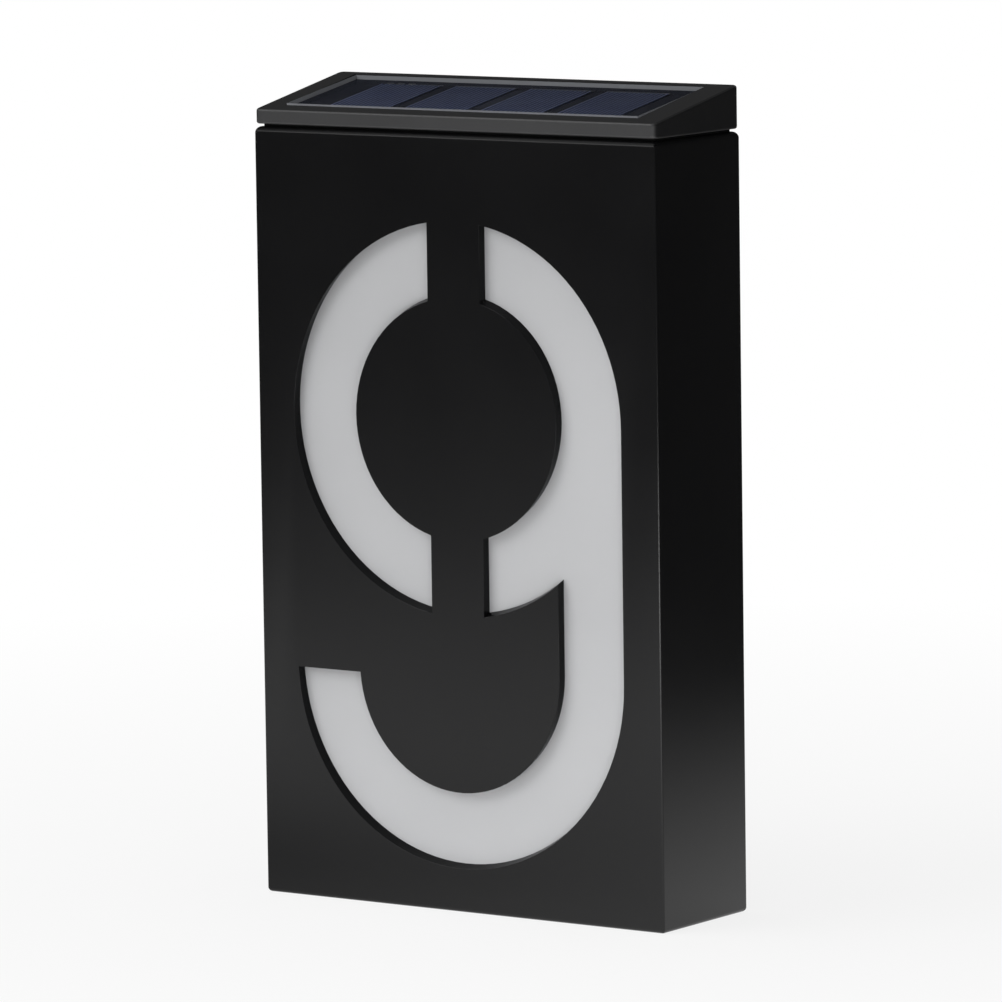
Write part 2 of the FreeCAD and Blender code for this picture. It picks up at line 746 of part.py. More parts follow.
def make_light_tray():
    body = new_body("light_tray")
    outline = sketch_on(body, "outline", "XZ_Plane", "-tray_back")
    polygon(outline, tray_outline("tray_half", "floor_wall", "tray_corner"))
    pad(outline, "tray_back - tray_front")
    room = sketch_on(body, "room", "XZ_Plane", "-tray_front")
    points = tray_outline("tray_inner_half", "tray_inner_low", "tray_inner_corner")
    points[0] = ("-tray_inner_half", "tray_top + overrun")
    points[-1] = ("tray_inner_half", "tray_top + overrun")
    polygon(room, points)
    pocket(room, "tray_back - tray_back_wall - tray_front")


def make_diffuser_gasket():
    """A foam strip between the diffuser and the tray's two sides and floor."""
    body = new_body("diffuser_gasket")
    outline = sketch_on(body, "outline", "XZ_Plane", "-tray_front")
    polygon(outline, tray_outline("tray_half", "floor_wall", "tray_corner"))
    pad(outline, "gasket_thickness")
    room = sketch_on(body, "room", "XZ_Plane", "-diffuser_back")
    points = tray_outline("tray_inner_half", "tray_inner_low", "tray_inner_corner")
    points[0] = ("-tray_inner_half", "tray_top + overrun")
    points[-1] = ("tray_inner_half", "tray_top + overrun")
    polygon(room, points)
    pocket(room, "gasket_thickness")


def make_back_plate():
    body = new_body("back_plate")
    outline = sketch_on(body, "outline", "XZ_Plane")
    rectangle(outline, "-plate_half", "plate_half", "plate_low", "plate_top")
    pad(outline, "plate_thickness")

    domes = sketch_on(body, "domes", "XZ_Plane", "plate_thickness")
    rooms = sketch_on(body, "rooms", "XZ_Plane", "plate_thickness")
    for sketch, reach in ((domes, "dome_reach"), (rooms, "pocket_reach")):
        for side in ("-", ""):
            middle = side + "keyhole_spacing / 2"
            rectangle(sketch, middle + " - " + reach, middle + " + " + reach,
                      "keyhole_level - " + reach, "keyhole_level + keyhole_slot_rise + " + reach)
    pad(domes, "keyhole_pocket_depth + keyhole_wall")
    pocket(rooms, "keyhole_pocket_depth", reverse=True)

    entries = sketch_on(body, "entries", "XZ_Plane")
    for side in ("-", ""):
        circle(entries, side + "keyhole_spacing / 2", "keyhole_level", "keyhole_radius")
    pocket(entries, "plate_thickness", reverse=True)
    slots = sketch_on(body, "slots", "XZ_Plane")
    for side in ("-", ""):
        middle = side + "keyhole_spacing / 2"
        rectangle(slots, middle + " - keyhole_slot_radius", middle + " + keyhole_slot_radius",
                  "keyhole_level", "keyhole_level + keyhole_slot_rise")
    pocket(slots, "plate_thickness", reverse=True)
    ends = sketch_on(body, "slot_ends", "XZ_Plane")
    for side in ("-", ""):
        circle(ends, side + "keyhole_spacing / 2", "keyhole_level + keyhole_slot_rise",
               "keyhole_slot_radius")
    pocket(ends, "plate_thickness", reverse=True)

    holes = sketch_on(body, "screw_holes", "XZ_Plane")
    for level in ("screw_low", "screw_high"):
        for side in ("-", ""):
            circle(holes, side + "screw_side", level, "back_screw_radius + screw_clearance")
    pocket(holes, "plate_thickness", reverse=True)
    hole = size("back_screw_radius") + size("screw_clearance")

    def screw_rim(edge):
        round_edge = isinstance(edge.Curve, Part.Circle) and near(edge.BoundBox.YMin, 0)
        return round_edge and near(edge.Curve.Radius, hole)

    plate = body.Tip
    rims = edge_names(plate, screw_rim)
    sink = body.newObject("PartDesign::Chamfer", body.Name + "_sinks")
    sink.Base = (plate, rims)
    sink.ChamferType = "Two distances"
    bind(sink, "Size", "back_head_radius - back_screw_radius")
    bind(sink, "Size2", "back_head_height")
    doc.recompute()
    deepest = max(-face.BoundBox.YMin for face in body.Shape.Faces
                  if isinstance(face.Surface, Part.Cone))
    if deepest > size("back_head_height") + SLACK:
        raise RuntimeError("the countersinks run deeper than the screw heads: %.2f" % deepest)


def make_back_gasket():
    body = new_body("back_gasket")
    outline = sketch_on(body, "outline", "XZ_Plane", "plate_thickness")
    rectangle(outline, "-plate_half", "plate_half", "plate_low", "plate_top")
    pad(outline, "gasket_thickness")
    window = sketch_on(body, "window", "XZ_Plane", "plate_thickness")
    rectangle(window, "-window_half - fit_gap", "window_half + fit_gap", "window_low - fit_gap",
              "window_top + fit_gap")
    pocket(window, "gasket_thickness", reverse=True)


def make_back_screws():
    screws = []
    for level in ("screw_low", "screw_high"):
        for name, side in (("left", "-"), ("right", "")):
            screws.append(screw("back_%s_%s" % (level, name), "back", side + "screw_side", "0",
                                level, TO_FRONT))
    together = group("back_screws", screws)
    at_case_level(together)
    register(together, "back_screws")


# ---------------------------------------------------------------- solar module: cap and base

def make_solar_cap():
    body = new_body("solar_cap")
    wedge = sketch_on(body, "wedge", "YZ_Plane")
    polygon(wedge, [("-case_depth", "cap_low"), ("0", "cap_low"), ("0", "cap_rear_top"),
                    ("-case_depth", "cap_front_top")])
    pad(wedge, "case_width", side="Symmetric")
    round_edges(body, "corner_rounds", "cap_corner_round", upright)
    half = size("case_half")
    low = size("cap_low")
    depth = size("case_depth")
    front_top = size("cap_front_top")
    slope = size("rim_slope")

    def on_top(edge):
        box = edge.BoundBox
        line_low = front_top + slope * (box.YMin + depth)
        line_high = front_top + slope * (box.YMax + depth)
        return near(box.ZMin, line_low) and near(box.ZMax, line_high)

    round_edges(body, "top_rounds", "cap_edge_round", on_top)
    round_edges(body, "low_rounds", "cap_edge_round", lambda edge: level_at(edge, low))

    neck = sketch_on(body, "neck", "XY_Plane", "cap_low")
    rectangle(neck, "-neck_half", "neck_half", "neck_front", "neck_back")
    pad(neck, "neck_length", reverse=True)
    well = sketch_on(body, "well", "YZ_Plane")
    polygon(well, [("well_front", "neck_low - overrun"), ("well_back", "neck_low - overrun"),
                   ("well_back", "well_back_level"), ("well_front", "well_front_level")])
    pocket(well, "2 * well_half", side="Symmetric")

    recess = sketch_on(body, "recess", "XY_Plane")
    recess.AttachmentOffset = Placement(Vector(), Rotation(Vector(1, 0, 0), 1))
    bind(recess, "AttachmentOffset.Rotation.Angle", "panel_angle")
    bind(recess, "AttachmentOffset.Base.y", "recess_front")
    bind(recess, "AttachmentOffset.Base.z", "recess_level")
    rectangle(recess, "rim_left - case_half", "case_half - rim_right", "0", "recess_run")
    pocket(recess, "through_cut", reverse=True)

    for place, top in (("front", "cap_boss_front_top"), ("back", "cap_boss_back_top")):
        bosses = sketch_on(body, "bosses_" + place, "XY_Plane", "base_top")
        holes = sketch_on(body, "holes_" + place, "XY_Plane", "base_top")
        for side in ("-", ""):
            circle(bosses, side + "cap_boss_side", "cap_boss_" + place, "cap_boss_radius")
            circle(holes, side + "cap_boss_side", "cap_boss_" + place, "cap_screw_radius + thread_gap")
        pad(bosses, top + " - base_top")
        pocket(holes, "cap_screw_length - base_thickness + screw_end_gap", reverse=True)
    lead_holes = sketch_on(body, "lead_holes", "XY_Plane", "base_top")
    for step in ("-", "+"):
        circle(lead_holes, "board_centre_x %s lead_spacing / 2" % step, "board_centre_y",
               "lead_hole_radius")
    pocket(lead_holes, "through_cut", reverse=True)


def make_cap_seal():
    body = new_body("cap_seal")
    ring = sketch_on(body, "ring", "XY_Plane", "case_height")
    reach = "seal_gap + seal_width"
    rectangle(ring, "-neck_half - (%s)" % reach, "neck_half + " + reach,
              "neck_front - (%s)" % reach, "neck_back + " + reach)
    rectangle(ring, "-neck_half - seal_gap", "neck_half + seal_gap", "neck_front - seal_gap",
              "neck_back + seal_gap")
    pad(ring, "reveal")


def make_module_base():
    body = new_body("module_base")
    plate = sketch_on(body, "plate", "XY_Plane", "neck_low")
    rectangle(plate, "-base_half", "base_half", "base_front", "base_back")
    pad(plate, "base_thickness")
    bay = sketch_on(body, "bay", "XY_Plane", "bay_level")
    rectangle(bay, "-bay_end", "bay_right", "bay_front", "bay_back")
    pad(bay, "bay_top - bay_level")

    lugs = sketch_on(body, "lugs", "YZ_Plane", "-bay_end")
    polygon(lugs, [("hinge_y", "hinge_level"), ("bay_front", "bay_level"),
                   ("bay_front + bay_wall / 2", "bay_level"),
                   ("bay_front + bay_wall / 2", "bay_level + 2 * knuckle_radius"),
                   ("hinge_y - 0.5 * knuckle_radius", "hinge_level + 0.8 * knuckle_radius")])
    pad(lugs, "bay_length")
    barrel = sketch_on(body, "barrel", "YZ_Plane", "-bay_end")
    circle(barrel, "hinge_y", "hinge_level", "knuckle_radius")
    pad(barrel, "bay_length")
    gaps = [("left_gap", "-bay_end", "knuckle_inset"),
            ("middle_gap", "-bay_end + knuckle_inset + knuckle_length",
             "bay_length - 2 * (knuckle_inset + knuckle_length)"),
            ("right_gap", "bay_right - knuckle_inset", "knuckle_inset")]
    for name, start, length in gaps:
        gap = sketch_on(body, name, "YZ_Plane", start)
        rectangle(gap, "hinge_y - 2 * knuckle_radius", "bay_front", "door_low - knuckle_radius",
                  "bay_level + 3 * knuckle_radius")
        pocket(gap, length, reverse=True)

    room = sketch_on(body, "bay_room", "XY_Plane", "bay_level")
    rectangle(room, "bay_inner_left", "bay_inner_right", "bay_inner_front", "bay_inner_back")
    pocket(room, "2 * battery_bore", reverse=True)
    bore = sketch_on(body, "hinge_bore", "YZ_Plane", "-bay_end")
    circle(bore, "hinge_y", "hinge_level", "pin_radius")
    pocket(bore, "bay_length", reverse=True)

    posts = sketch_on(body, "posts", "XY_Plane", "base_top")
    post_holes = sketch_on(body, "post_holes", "XY_Plane", "board_level")
    for across, along in board_posts():
        circle(posts, across, along, "post_radius")
        circle(post_holes, across, along, "board_screw_radius + thread_gap")
    pad(posts, "board_rise")
    pocket(post_holes, "board_rise")
    slot = sketch_on(body, "switch_slot", "XY_Plane", "base_top")
    rectangle(slot, "slot_left", "slot_left + slot_width", "board_centre_y - slot_depth / 2",
              "board_centre_y + slot_depth / 2")
    pocket(slot, "base_thickness")

    holes = sketch_on(body, "holes", "XY_Plane", "base_top")
    for along in ("cap_boss_front", "cap_boss_back"):
        for side in ("-", ""):
            circle(holes, side + "cap_boss_side", along, "cap_screw_radius + screw_clearance")
    for step in ("-", "+"):
        circle(holes, "board_centre_x %s lead_spacing / 2" % step, "led_lead_y", "lead_hole_radius")
    pocket(holes, "base_thickness")

    wall_holes = sketch_on(body, "wall_holes", "YZ_Plane", "bay_inner_right")
    circle(wall_holes, "battery_axis_y", "plus_lead_level", "lead_hole_radius")
    pocket(wall_holes, "bay_wall", reverse=True)
    wall_holes = sketch_on(body, "end_holes", "YZ_Plane", "-bay_end")
    circle(wall_holes, "battery_axis_y", "plus_lead_level", "lead_hole_radius")
    pocket(wall_holes, "bay_wall", reverse=True)


def board_posts():
    """The two opposite corners of the control board that are screwed down."""
    return [("board_left + post_inset", "board_front + post_inset"),
            ("board_right - post_inset", "board_back - post_inset")]


def make_cap_screws():
    screws = []
    for place in ("front", "back"):
        for name, side in (("left", "-"), ("right", "")):
            screws.append(screw("cap_%s_%s" % (place, name), "cap", side + "cap_boss_side",
                                "cap_boss_" + place, "neck_low - cap_head_height", sunk=False))
    together = group("cap_screws", screws)
    at_case_level(together)
    register(together, "cap_screws")


# ---------------------------------------------------------------- solar panel

def tilted_block(name, left, along, lift, width, run, thickness, level="0"):
    """A flat box lying in the panel's slope, by its place along and above that slope."""
    box = block(name, left, "0", "0", width, run, thickness)
    box.Placement.Rotation = Rotation(Vector(1, 0, 0), 1)
    bind(box, "Placement.Rotation.Angle", "panel_angle")
    bind(box, "Placement.Base.y",
         "recess_front + panel_cosine * (%s - panel_slope * (%s))" % (along, lift))
    bind(box, "Placement.Base.z",
         "%s + recess_level + panel_cosine * (panel_slope * (%s) + %s)" % (level, along, lift))
    return box


def cell_block(name, index, level="0"):
    left = "panel_left + cell_left_margin + %d * cell_pitch" % index
    return tilted_block(name, left, "panel_gap + cell_front_margin", "backsheet_thickness",
                        "cell_width", "cell_length", "cell_thickness", level)


def ribbon_block(name, index):
    left = "panel_left + cell_left_margin + ribbon_margin + %d * ribbon_pitch" % index
    return tilted_block(name, left, "panel_gap + cell_front_margin + cell_length",
                        "backsheet_thickness", "ribbon_length", "ribbon_width", "ribbon_thickness")


def make_solar_panel():
    backsheet = tilted_block("panel_backsheet", "panel_left", "panel_gap", "0", "panel_width",
                             "panel_run", "backsheet_thickness", "base_level")
    register(backsheet, "panel_backsheet")
    for i in range(CELL_COUNT):
        label = "solar_cell_%d" % (i + 1)
        register(cell_block(label, i, "base_level"), label)
    ribbons = group("tab_ribbons", [ribbon_block("ribbon%d" % i, i) for i in range(RIBBON_COUNT)])
    at_case_level(ribbons)
    register(ribbons, "tab_ribbons")
    slab = tilted_block("cover_slab", "panel_left", "panel_gap", "backsheet_thickness",
                        "panel_width", "panel_run", "cell_thickness + cover_thickness")
    inlays = [cell_block("cell_inlay%d" % i, i) for i in range(CELL_COUNT)]
    inlays += [ribbon_block("ribbon_inlay%d" % i, i) for i in range(RIBBON_COUNT)]
    cover = minus("panel_cover", slab, union("cover_inlays", inlays))
    at_case_level(cover)
    register(cover, "panel_cover")


# ---------------------------------------------------------------- control board and switch

def make_control_board():
    board = block("board_blank", "board_left", "board_front", "board_level", "board_width",
                  "board_depth", "board_thickness")
    holes = [rod("board_hole%d" % i, across, along, "board_level", "board_screw_radius + thread_gap",
                 "board_thickness") for i, (across, along) in enumerate(board_posts())]
    drilled = minus("control_board", board, union("board_holes", holes))
    at_case_level(drilled)
    register(drilled, "control_board")
    chip = block("driver_chip", "chip_left", "chip_front", "base_level + board_top", "chip_width",
                 "chip_depth", "chip_height")
    register(chip, "driver_chip")
    coil = rod("choke_coil", "coil_x", "coil_y", "base_level + board_top", "coil_radius",
               "coil_height")
    register(coil, "choke_coil")
    capacitor = rod("capacitor", "capacitor_x", "capacitor_y", "base_level + board_top",
                    "capacitor_radius", "capacitor_height")
    register(capacitor, "capacitor")
    screws = [screw("board_screw%d" % i, "board", across, along, "board_top + board_head_height",
                    UPSIDE_DOWN, sunk=False)
              for i, (across, along) in enumerate(board_posts())]
    together = group("board_screws", screws)
    at_case_level(together)
    register(together, "board_screws")


def make_switch():
    shell = block("switch_shell", "switch_left", "board_centre_y - switch_depth / 2", "switch_low",
                  "switch_width", "switch_depth", "board_level - switch_low")
    room = block("switch_room", "slot_left", "board_centre_y - slot_depth / 2", "switch_low - overrun",
                 "slot_width", "slot_depth", "board_level - slider_cover - switch_low + overrun")
    housing = minus("switch_body", shell, room)
    at_case_level(housing)
    register(housing, "switch_body")
    slider = block("switch_slider", "slider_left", "board_centre_y - slider_depth / 2",
                   "base_level + slider_low", "slider_width", "slider_depth",
                   "slider_top - slider_low")
    register(slider, "switch_slider")


# ---------------------------------------------------------------- battery, contacts and door

def make_battery():
    can = rod("battery_can", "battery_left", "battery_axis_y", "battery_axis_level", "battery_radius",
              "battery_length - battery_nub_length", ALONG_X)
    nub = rod("battery_nub", "battery_left", "battery_axis_y", "battery_axis_level",
              "battery_nub_radius", "battery_length", ALONG_X)
    battery = union("battery_cell", [can, nub])
    at_case_level(battery)
    register(battery, "battery_cell")
    for name, left in (("contact_plate", "battery_right"), ("spring_plate", "bay_inner_left")):
        plate = block(name, left, "battery_axis_y - contact_half_width",
                      "base_level + battery_axis_level - contact_half_width", "contact_thickness",
                      "2 * contact_half_width", "plate_contact_height")
        register(plate, name)


def make_contact_spring():
    """A plain coil of round wire along X, pressed between its plate and the battery."""
    wire = size("spring_wire_radius")
    radius = size("spring_radius")
    turns = size("spring_turns")
    start = size("bay_inner_left") + size("contact_thickness")
    room = size("spring_length") - 2 * wire
    pitch = room / turns
    rise = pitch / ARCS_PER_TURN
    line = Part.makeHelix(pitch, rise, radius)
    profile = Part.Wire([Part.makeCircle(wire, Vector(radius, 0, 0), Vector(0, 1, 0))])
    arc = Part.Wire(line.Edges).makePipeShell([profile], True, True)
    arcs = []
    for step in range(round(turns * ARCS_PER_TURN)):
        turned = Rotation(Vector(0, 0, 1), FULL_TURN * step / ARCS_PER_TURN)
        arcs.append(arc.transformed(Placement(Vector(0, 0, step * rise), turned).toMatrix()))
    spring = doc.addObject("Part::Feature", "contact_spring")
    spring.Shape = arcs[0].multiFuse(arcs[1:])
    centre = Vector(start + wire, size("battery_axis_y"), size("base_level") + size("battery_axis_level"))
    spring.Placement = Placement(centre, ALONG_X)
    register(spring, "contact_spring")


def make_battery_door():
    body = new_body("battery_door")
    panel = sketch_on(body, "panel", "XY_Plane", "door_low")
    rectangle(panel, "-bay_end", "bay_right", "hinge_y + knuckle_radius + knuckle_gap", "bay_back")
    pad(panel, "door_thickness")
    latch = sketch_on(body, "latch", "XY_Plane", "bay_level")
    rectangle(latch, "door_middle - latch_width / 2", "door_middle + latch_width / 2",
              "bay_inner_back - latch_gap - latch_thickness", "bay_inner_back - latch_gap")
    pad(latch, "latch_height")
    grip = sketch_on(body, "grip", "XY_Plane", "door_low")
    rectangle(grip, "door_middle - grip_width / 2", "door_middle + grip_width / 2",
              "bay_back - door_thickness", "bay_back")
    pad(grip, "grip_height", reverse=True)

    web = sketch_on(body, "web", "YZ_Plane", "door_barrel_left")
    rectangle(web, "hinge_y", "hinge_y + knuckle_radius + knuckle_gap + door_thickness / 2",
              "door_low", "hinge_level")
    pad(web, "door_barrel_length")
    barrel = sketch_on(body, "barrel", "YZ_Plane", "door_barrel_left")
    circle(barrel, "hinge_y", "hinge_level", "knuckle_radius")
    pad(barrel, "door_barrel_length")
    bore = sketch_on(body, "bore", "YZ_Plane", "door_barrel_left")
    circle(bore, "hinge_y", "hinge_level", "pin_radius + pin_clearance")
    pocket(bore, "door_barrel_length", reverse=True)


def make_hinge_pin():
    pin_rod = rod("hinge_pin", "-bay_end + knuckle_inset", "hinge_y", "base_level + hinge_level",
                  "pin_radius", "bay_length - 2 * knuckle_inset", ALONG_X)
    register(pin_rod, "hinge_pin")


# ---------------------------------------------------------------- light source

def make_light_source():
    board = block("led_board", "-led_board_half_width", "led_board_front",
                  "base_level + led_board_level", "2 * led_board_half_width", "led_board_depth",
                  "led_board_thickness")
    register(board, "led_board")
    for i in range(int(size("led_count"))):
        label = "led_%d" % (i + 1)
        middle = "(%d - (led_count - 1) / 2) * led_pitch" % i
        led = block(label, middle + " - led_width / 2",
                    "led_board_front + (led_board_depth - led_depth) / 2",
                    "base_level + led_level", "led_width", "led_depth", "led_height")
        register(led, label)


# ---------------------------------------------------------------- leads

def lead_path(points, bend):
    """Straight runs joined by arcs of one bend radius at every inner point."""
    edges = []
    start = points[0]
    for before, corner, after in zip(points, points[1:], points[2:]):
        back = (before - corner).normalize()
        ahead = (after - corner).normalize()
        half_turn = back.getAngle(ahead) / 2
        reach = bend / math.tan(half_turn)
        inward = (back + ahead).normalize()
        first = corner + back * reach
        last = corner + ahead * reach
        middle = corner + inward * (bend / math.sin(half_turn) - bend)
        edges.append(Part.LineSegment(start, first).toShape())
        edges.append(Part.Arc(first, middle, last).toShape())
        start = last
    edges.append(Part.LineSegment(start, points[-1]).toShape())
    return Part.Wire(edges)


def lead(points, bend):
    path = lead_path(points, bend)
    direction = points[1] - points[0]
    profile = Part.Wire([Part.makeCircle(size("lead_radius"), points[0], direction)])
    return path.makePipeShell([profile], True, False)


def register_leads(label, shapes):
    leads = doc.addObject("Part::Feature", label)
    leads.Shape = Part.makeCompound(shapes)
    leads.Placement = Placement(Vector(0, 0, size("base_level")), Rotation())
    register(leads, label)


def make_leads():
    bend = size("lead_bend")
    middle = size("board_centre_x")
    step = size("lead_spacing") / 2
    centre_y = size("board_centre_y")
    thick = size("lead_radius")
    board_top = size("board_top")
    slope = size("panel_slope")
    sheet_low = size("recess_level") + slope * (centre_y - thick - size("recess_front"))
    panel_leads = []
    for side in (-step, step):
        foot = Vector(middle + side, centre_y, board_top)
        panel_leads.append(Part.makeCylinder(thick, sheet_low - board_top, foot))
    register_leads("panel_leads", panel_leads)

    led_y = size("led_lead_y")
    under_board = size("board_level")
    turn_level = (size("base_top") + under_board) / 2
    board_y = size("board_front") + bend
    led_leads = []
    for side in (-step, step):
        x = middle + side
        points = [Vector(x, led_y, size("neck_low")), Vector(x, led_y, turn_level),
                  Vector(x, board_y, turn_level), Vector(x, board_y, under_board)]
        led_leads.append(lead(points, size("led_lead_bend")))
    register_leads("led_leads", led_leads)

    level = size("plus_lead_level")
    axis_y = size("battery_axis_y")
    lead_end = size("board_left") + 2 * size("post_inset") + thick
    plus = Part.makeCylinder(thick, lead_end - size("battery_right") - size("contact_thickness"),
                             Vector(size("battery_right") + size("contact_thickness"), axis_y, level),
                             Vector(1, 0, 0))
    run_y = size("minus_lead_y")
    turn_x = -size("bay_end") - 2 * bend
    points = [Vector(size("bay_inner_left"), axis_y, level), Vector(turn_x, axis_y, level),
              Vector(turn_x, run_y, level), Vector(lead_end, run_y, level),
              Vector(lead_end, size("board_front") + 2 * bend, level)]
    register_leads("battery_leads", [plus, lead(points, bend)])


# ---------------------------------------------------------------- check and export

def check_document():
    """Stops before anything is written if an object failed or a sub-part has no sound shape."""
    doc.recompute()
    for thing in doc.Objects:
        if "Invalid" in thing.State or "Error" in thing.State:
            raise RuntimeError(thing.Label + " failed: " + str(thing.State))
    for thing in sub_parts:
        shape = thing.Shape
        if shape.isNull() or not shape.isValid() or not shape.Solids:
            raise RuntimeError(thing.Label + " has no sound shape")


def export_sub_parts():
    os.makedirs("parts", exist_ok=True)
    for thing in sub_parts:
        thing.Shape.exportStep("parts/" + thing.Label + ".step")
        print("%-18s %2d solid(s) %10.2f mm3" % (thing.Label, len(thing.Shape.Solids),
                                                 thing.Shape.Volume))


sheet = fill_sheet()
make_front_case()
make_diffuser()
make_diffuser_gasket()
make_light_tray()
make_back_plate()
make_back_gasket()
make_back_screws()
make_solar_cap()
make_cap_seal()
make_module_base()
make_cap_screws()
make_solar_panel()
make_control_board()
make_switch()
make_battery()
make_contact_spring()
make_battery_door()
make_hinge_pin()
make_light_source()
make_leads()
check_document()
export_sub_parts()
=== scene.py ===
import json
import math

import bmesh
import bpy
from mathutils import Matrix, Vector


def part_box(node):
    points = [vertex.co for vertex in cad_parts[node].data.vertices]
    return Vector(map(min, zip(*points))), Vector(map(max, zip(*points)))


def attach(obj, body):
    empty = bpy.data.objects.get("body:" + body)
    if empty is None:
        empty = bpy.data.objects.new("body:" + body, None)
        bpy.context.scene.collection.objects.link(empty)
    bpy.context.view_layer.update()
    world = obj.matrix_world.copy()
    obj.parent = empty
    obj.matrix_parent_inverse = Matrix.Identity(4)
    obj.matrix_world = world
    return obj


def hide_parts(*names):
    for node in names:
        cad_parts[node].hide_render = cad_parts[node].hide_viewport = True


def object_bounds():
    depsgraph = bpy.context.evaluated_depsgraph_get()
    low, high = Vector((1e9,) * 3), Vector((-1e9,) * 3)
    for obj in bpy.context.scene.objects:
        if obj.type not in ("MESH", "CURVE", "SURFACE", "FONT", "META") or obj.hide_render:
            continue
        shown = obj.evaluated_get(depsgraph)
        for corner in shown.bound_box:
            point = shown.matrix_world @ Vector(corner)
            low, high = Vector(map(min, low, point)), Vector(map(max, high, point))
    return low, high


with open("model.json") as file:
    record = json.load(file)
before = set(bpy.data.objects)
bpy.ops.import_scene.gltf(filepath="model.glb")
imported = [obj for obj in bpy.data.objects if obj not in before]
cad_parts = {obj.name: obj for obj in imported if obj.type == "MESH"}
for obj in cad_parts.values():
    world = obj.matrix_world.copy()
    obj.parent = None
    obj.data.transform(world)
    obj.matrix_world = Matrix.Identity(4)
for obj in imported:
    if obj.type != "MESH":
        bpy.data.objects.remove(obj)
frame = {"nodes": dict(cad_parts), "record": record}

CAD_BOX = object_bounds()
IMAGE = 1002
MM = 0.001
WHITE = (1, 1, 1, 1)


# ------------------------------------------------------------------ camera

CAMERA_ANGLES = (34.901, 7.06, -0.782)   # azimuth, elevation and roll in degrees
CAMERA_DISTANCE = 1.788291
CAMERA_TARGET = (0.0, -0.0175, 0.0)
TARGET_PX = (499.30, 517.38)             # where the target lies in the image
FOCAL_PX = 7736.6
SENSOR_WIDTH = 36.0
CLIP = (0.05, 50.0)


def make_camera():
    """A long lens at the photograph's place, aimed by azimuth, elevation and roll."""
    azimuth, elevation, roll = (math.radians(a) for a in CAMERA_ANGLES)
    back = Vector((math.sin(azimuth) * math.cos(elevation),
                   -math.cos(azimuth) * math.cos(elevation), math.sin(elevation)))
    right = Vector((0, 0, 1)).cross(back).normalized()
    up = back.cross(right)
    turned_right = right * math.cos(roll) + up * math.sin(roll)
    turned_up = up * math.cos(roll) - right * math.sin(roll)
    half = IMAGE / 2
    shift_x = (TARGET_PX[0] - half) * CAMERA_DISTANCE / FOCAL_PX
    shift_y = -(TARGET_PX[1] - half) * CAMERA_DISTANCE / FOCAL_PX
    data = bpy.data.cameras.new("camera")
    data.sensor_width = SENSOR_WIDTH
    data.lens = FOCAL_PX / IMAGE * data.sensor_width
    data.clip_start, data.clip_end = CLIP
    camera = bpy.data.objects.new("camera", data)
    turn = Matrix((turned_right, turned_up, back)).transposed().to_4x4()
    shift = turned_right * shift_x + turned_up * shift_y
    place = Vector(CAMERA_TARGET) - shift + back * CAMERA_DISTANCE
    camera.matrix_world = Matrix.Translation(place) @ turn
    bpy.context.scene.collection.objects.link(camera)
    bpy.context.scene.camera = camera


# ------------------------------------------------------------------ node helpers

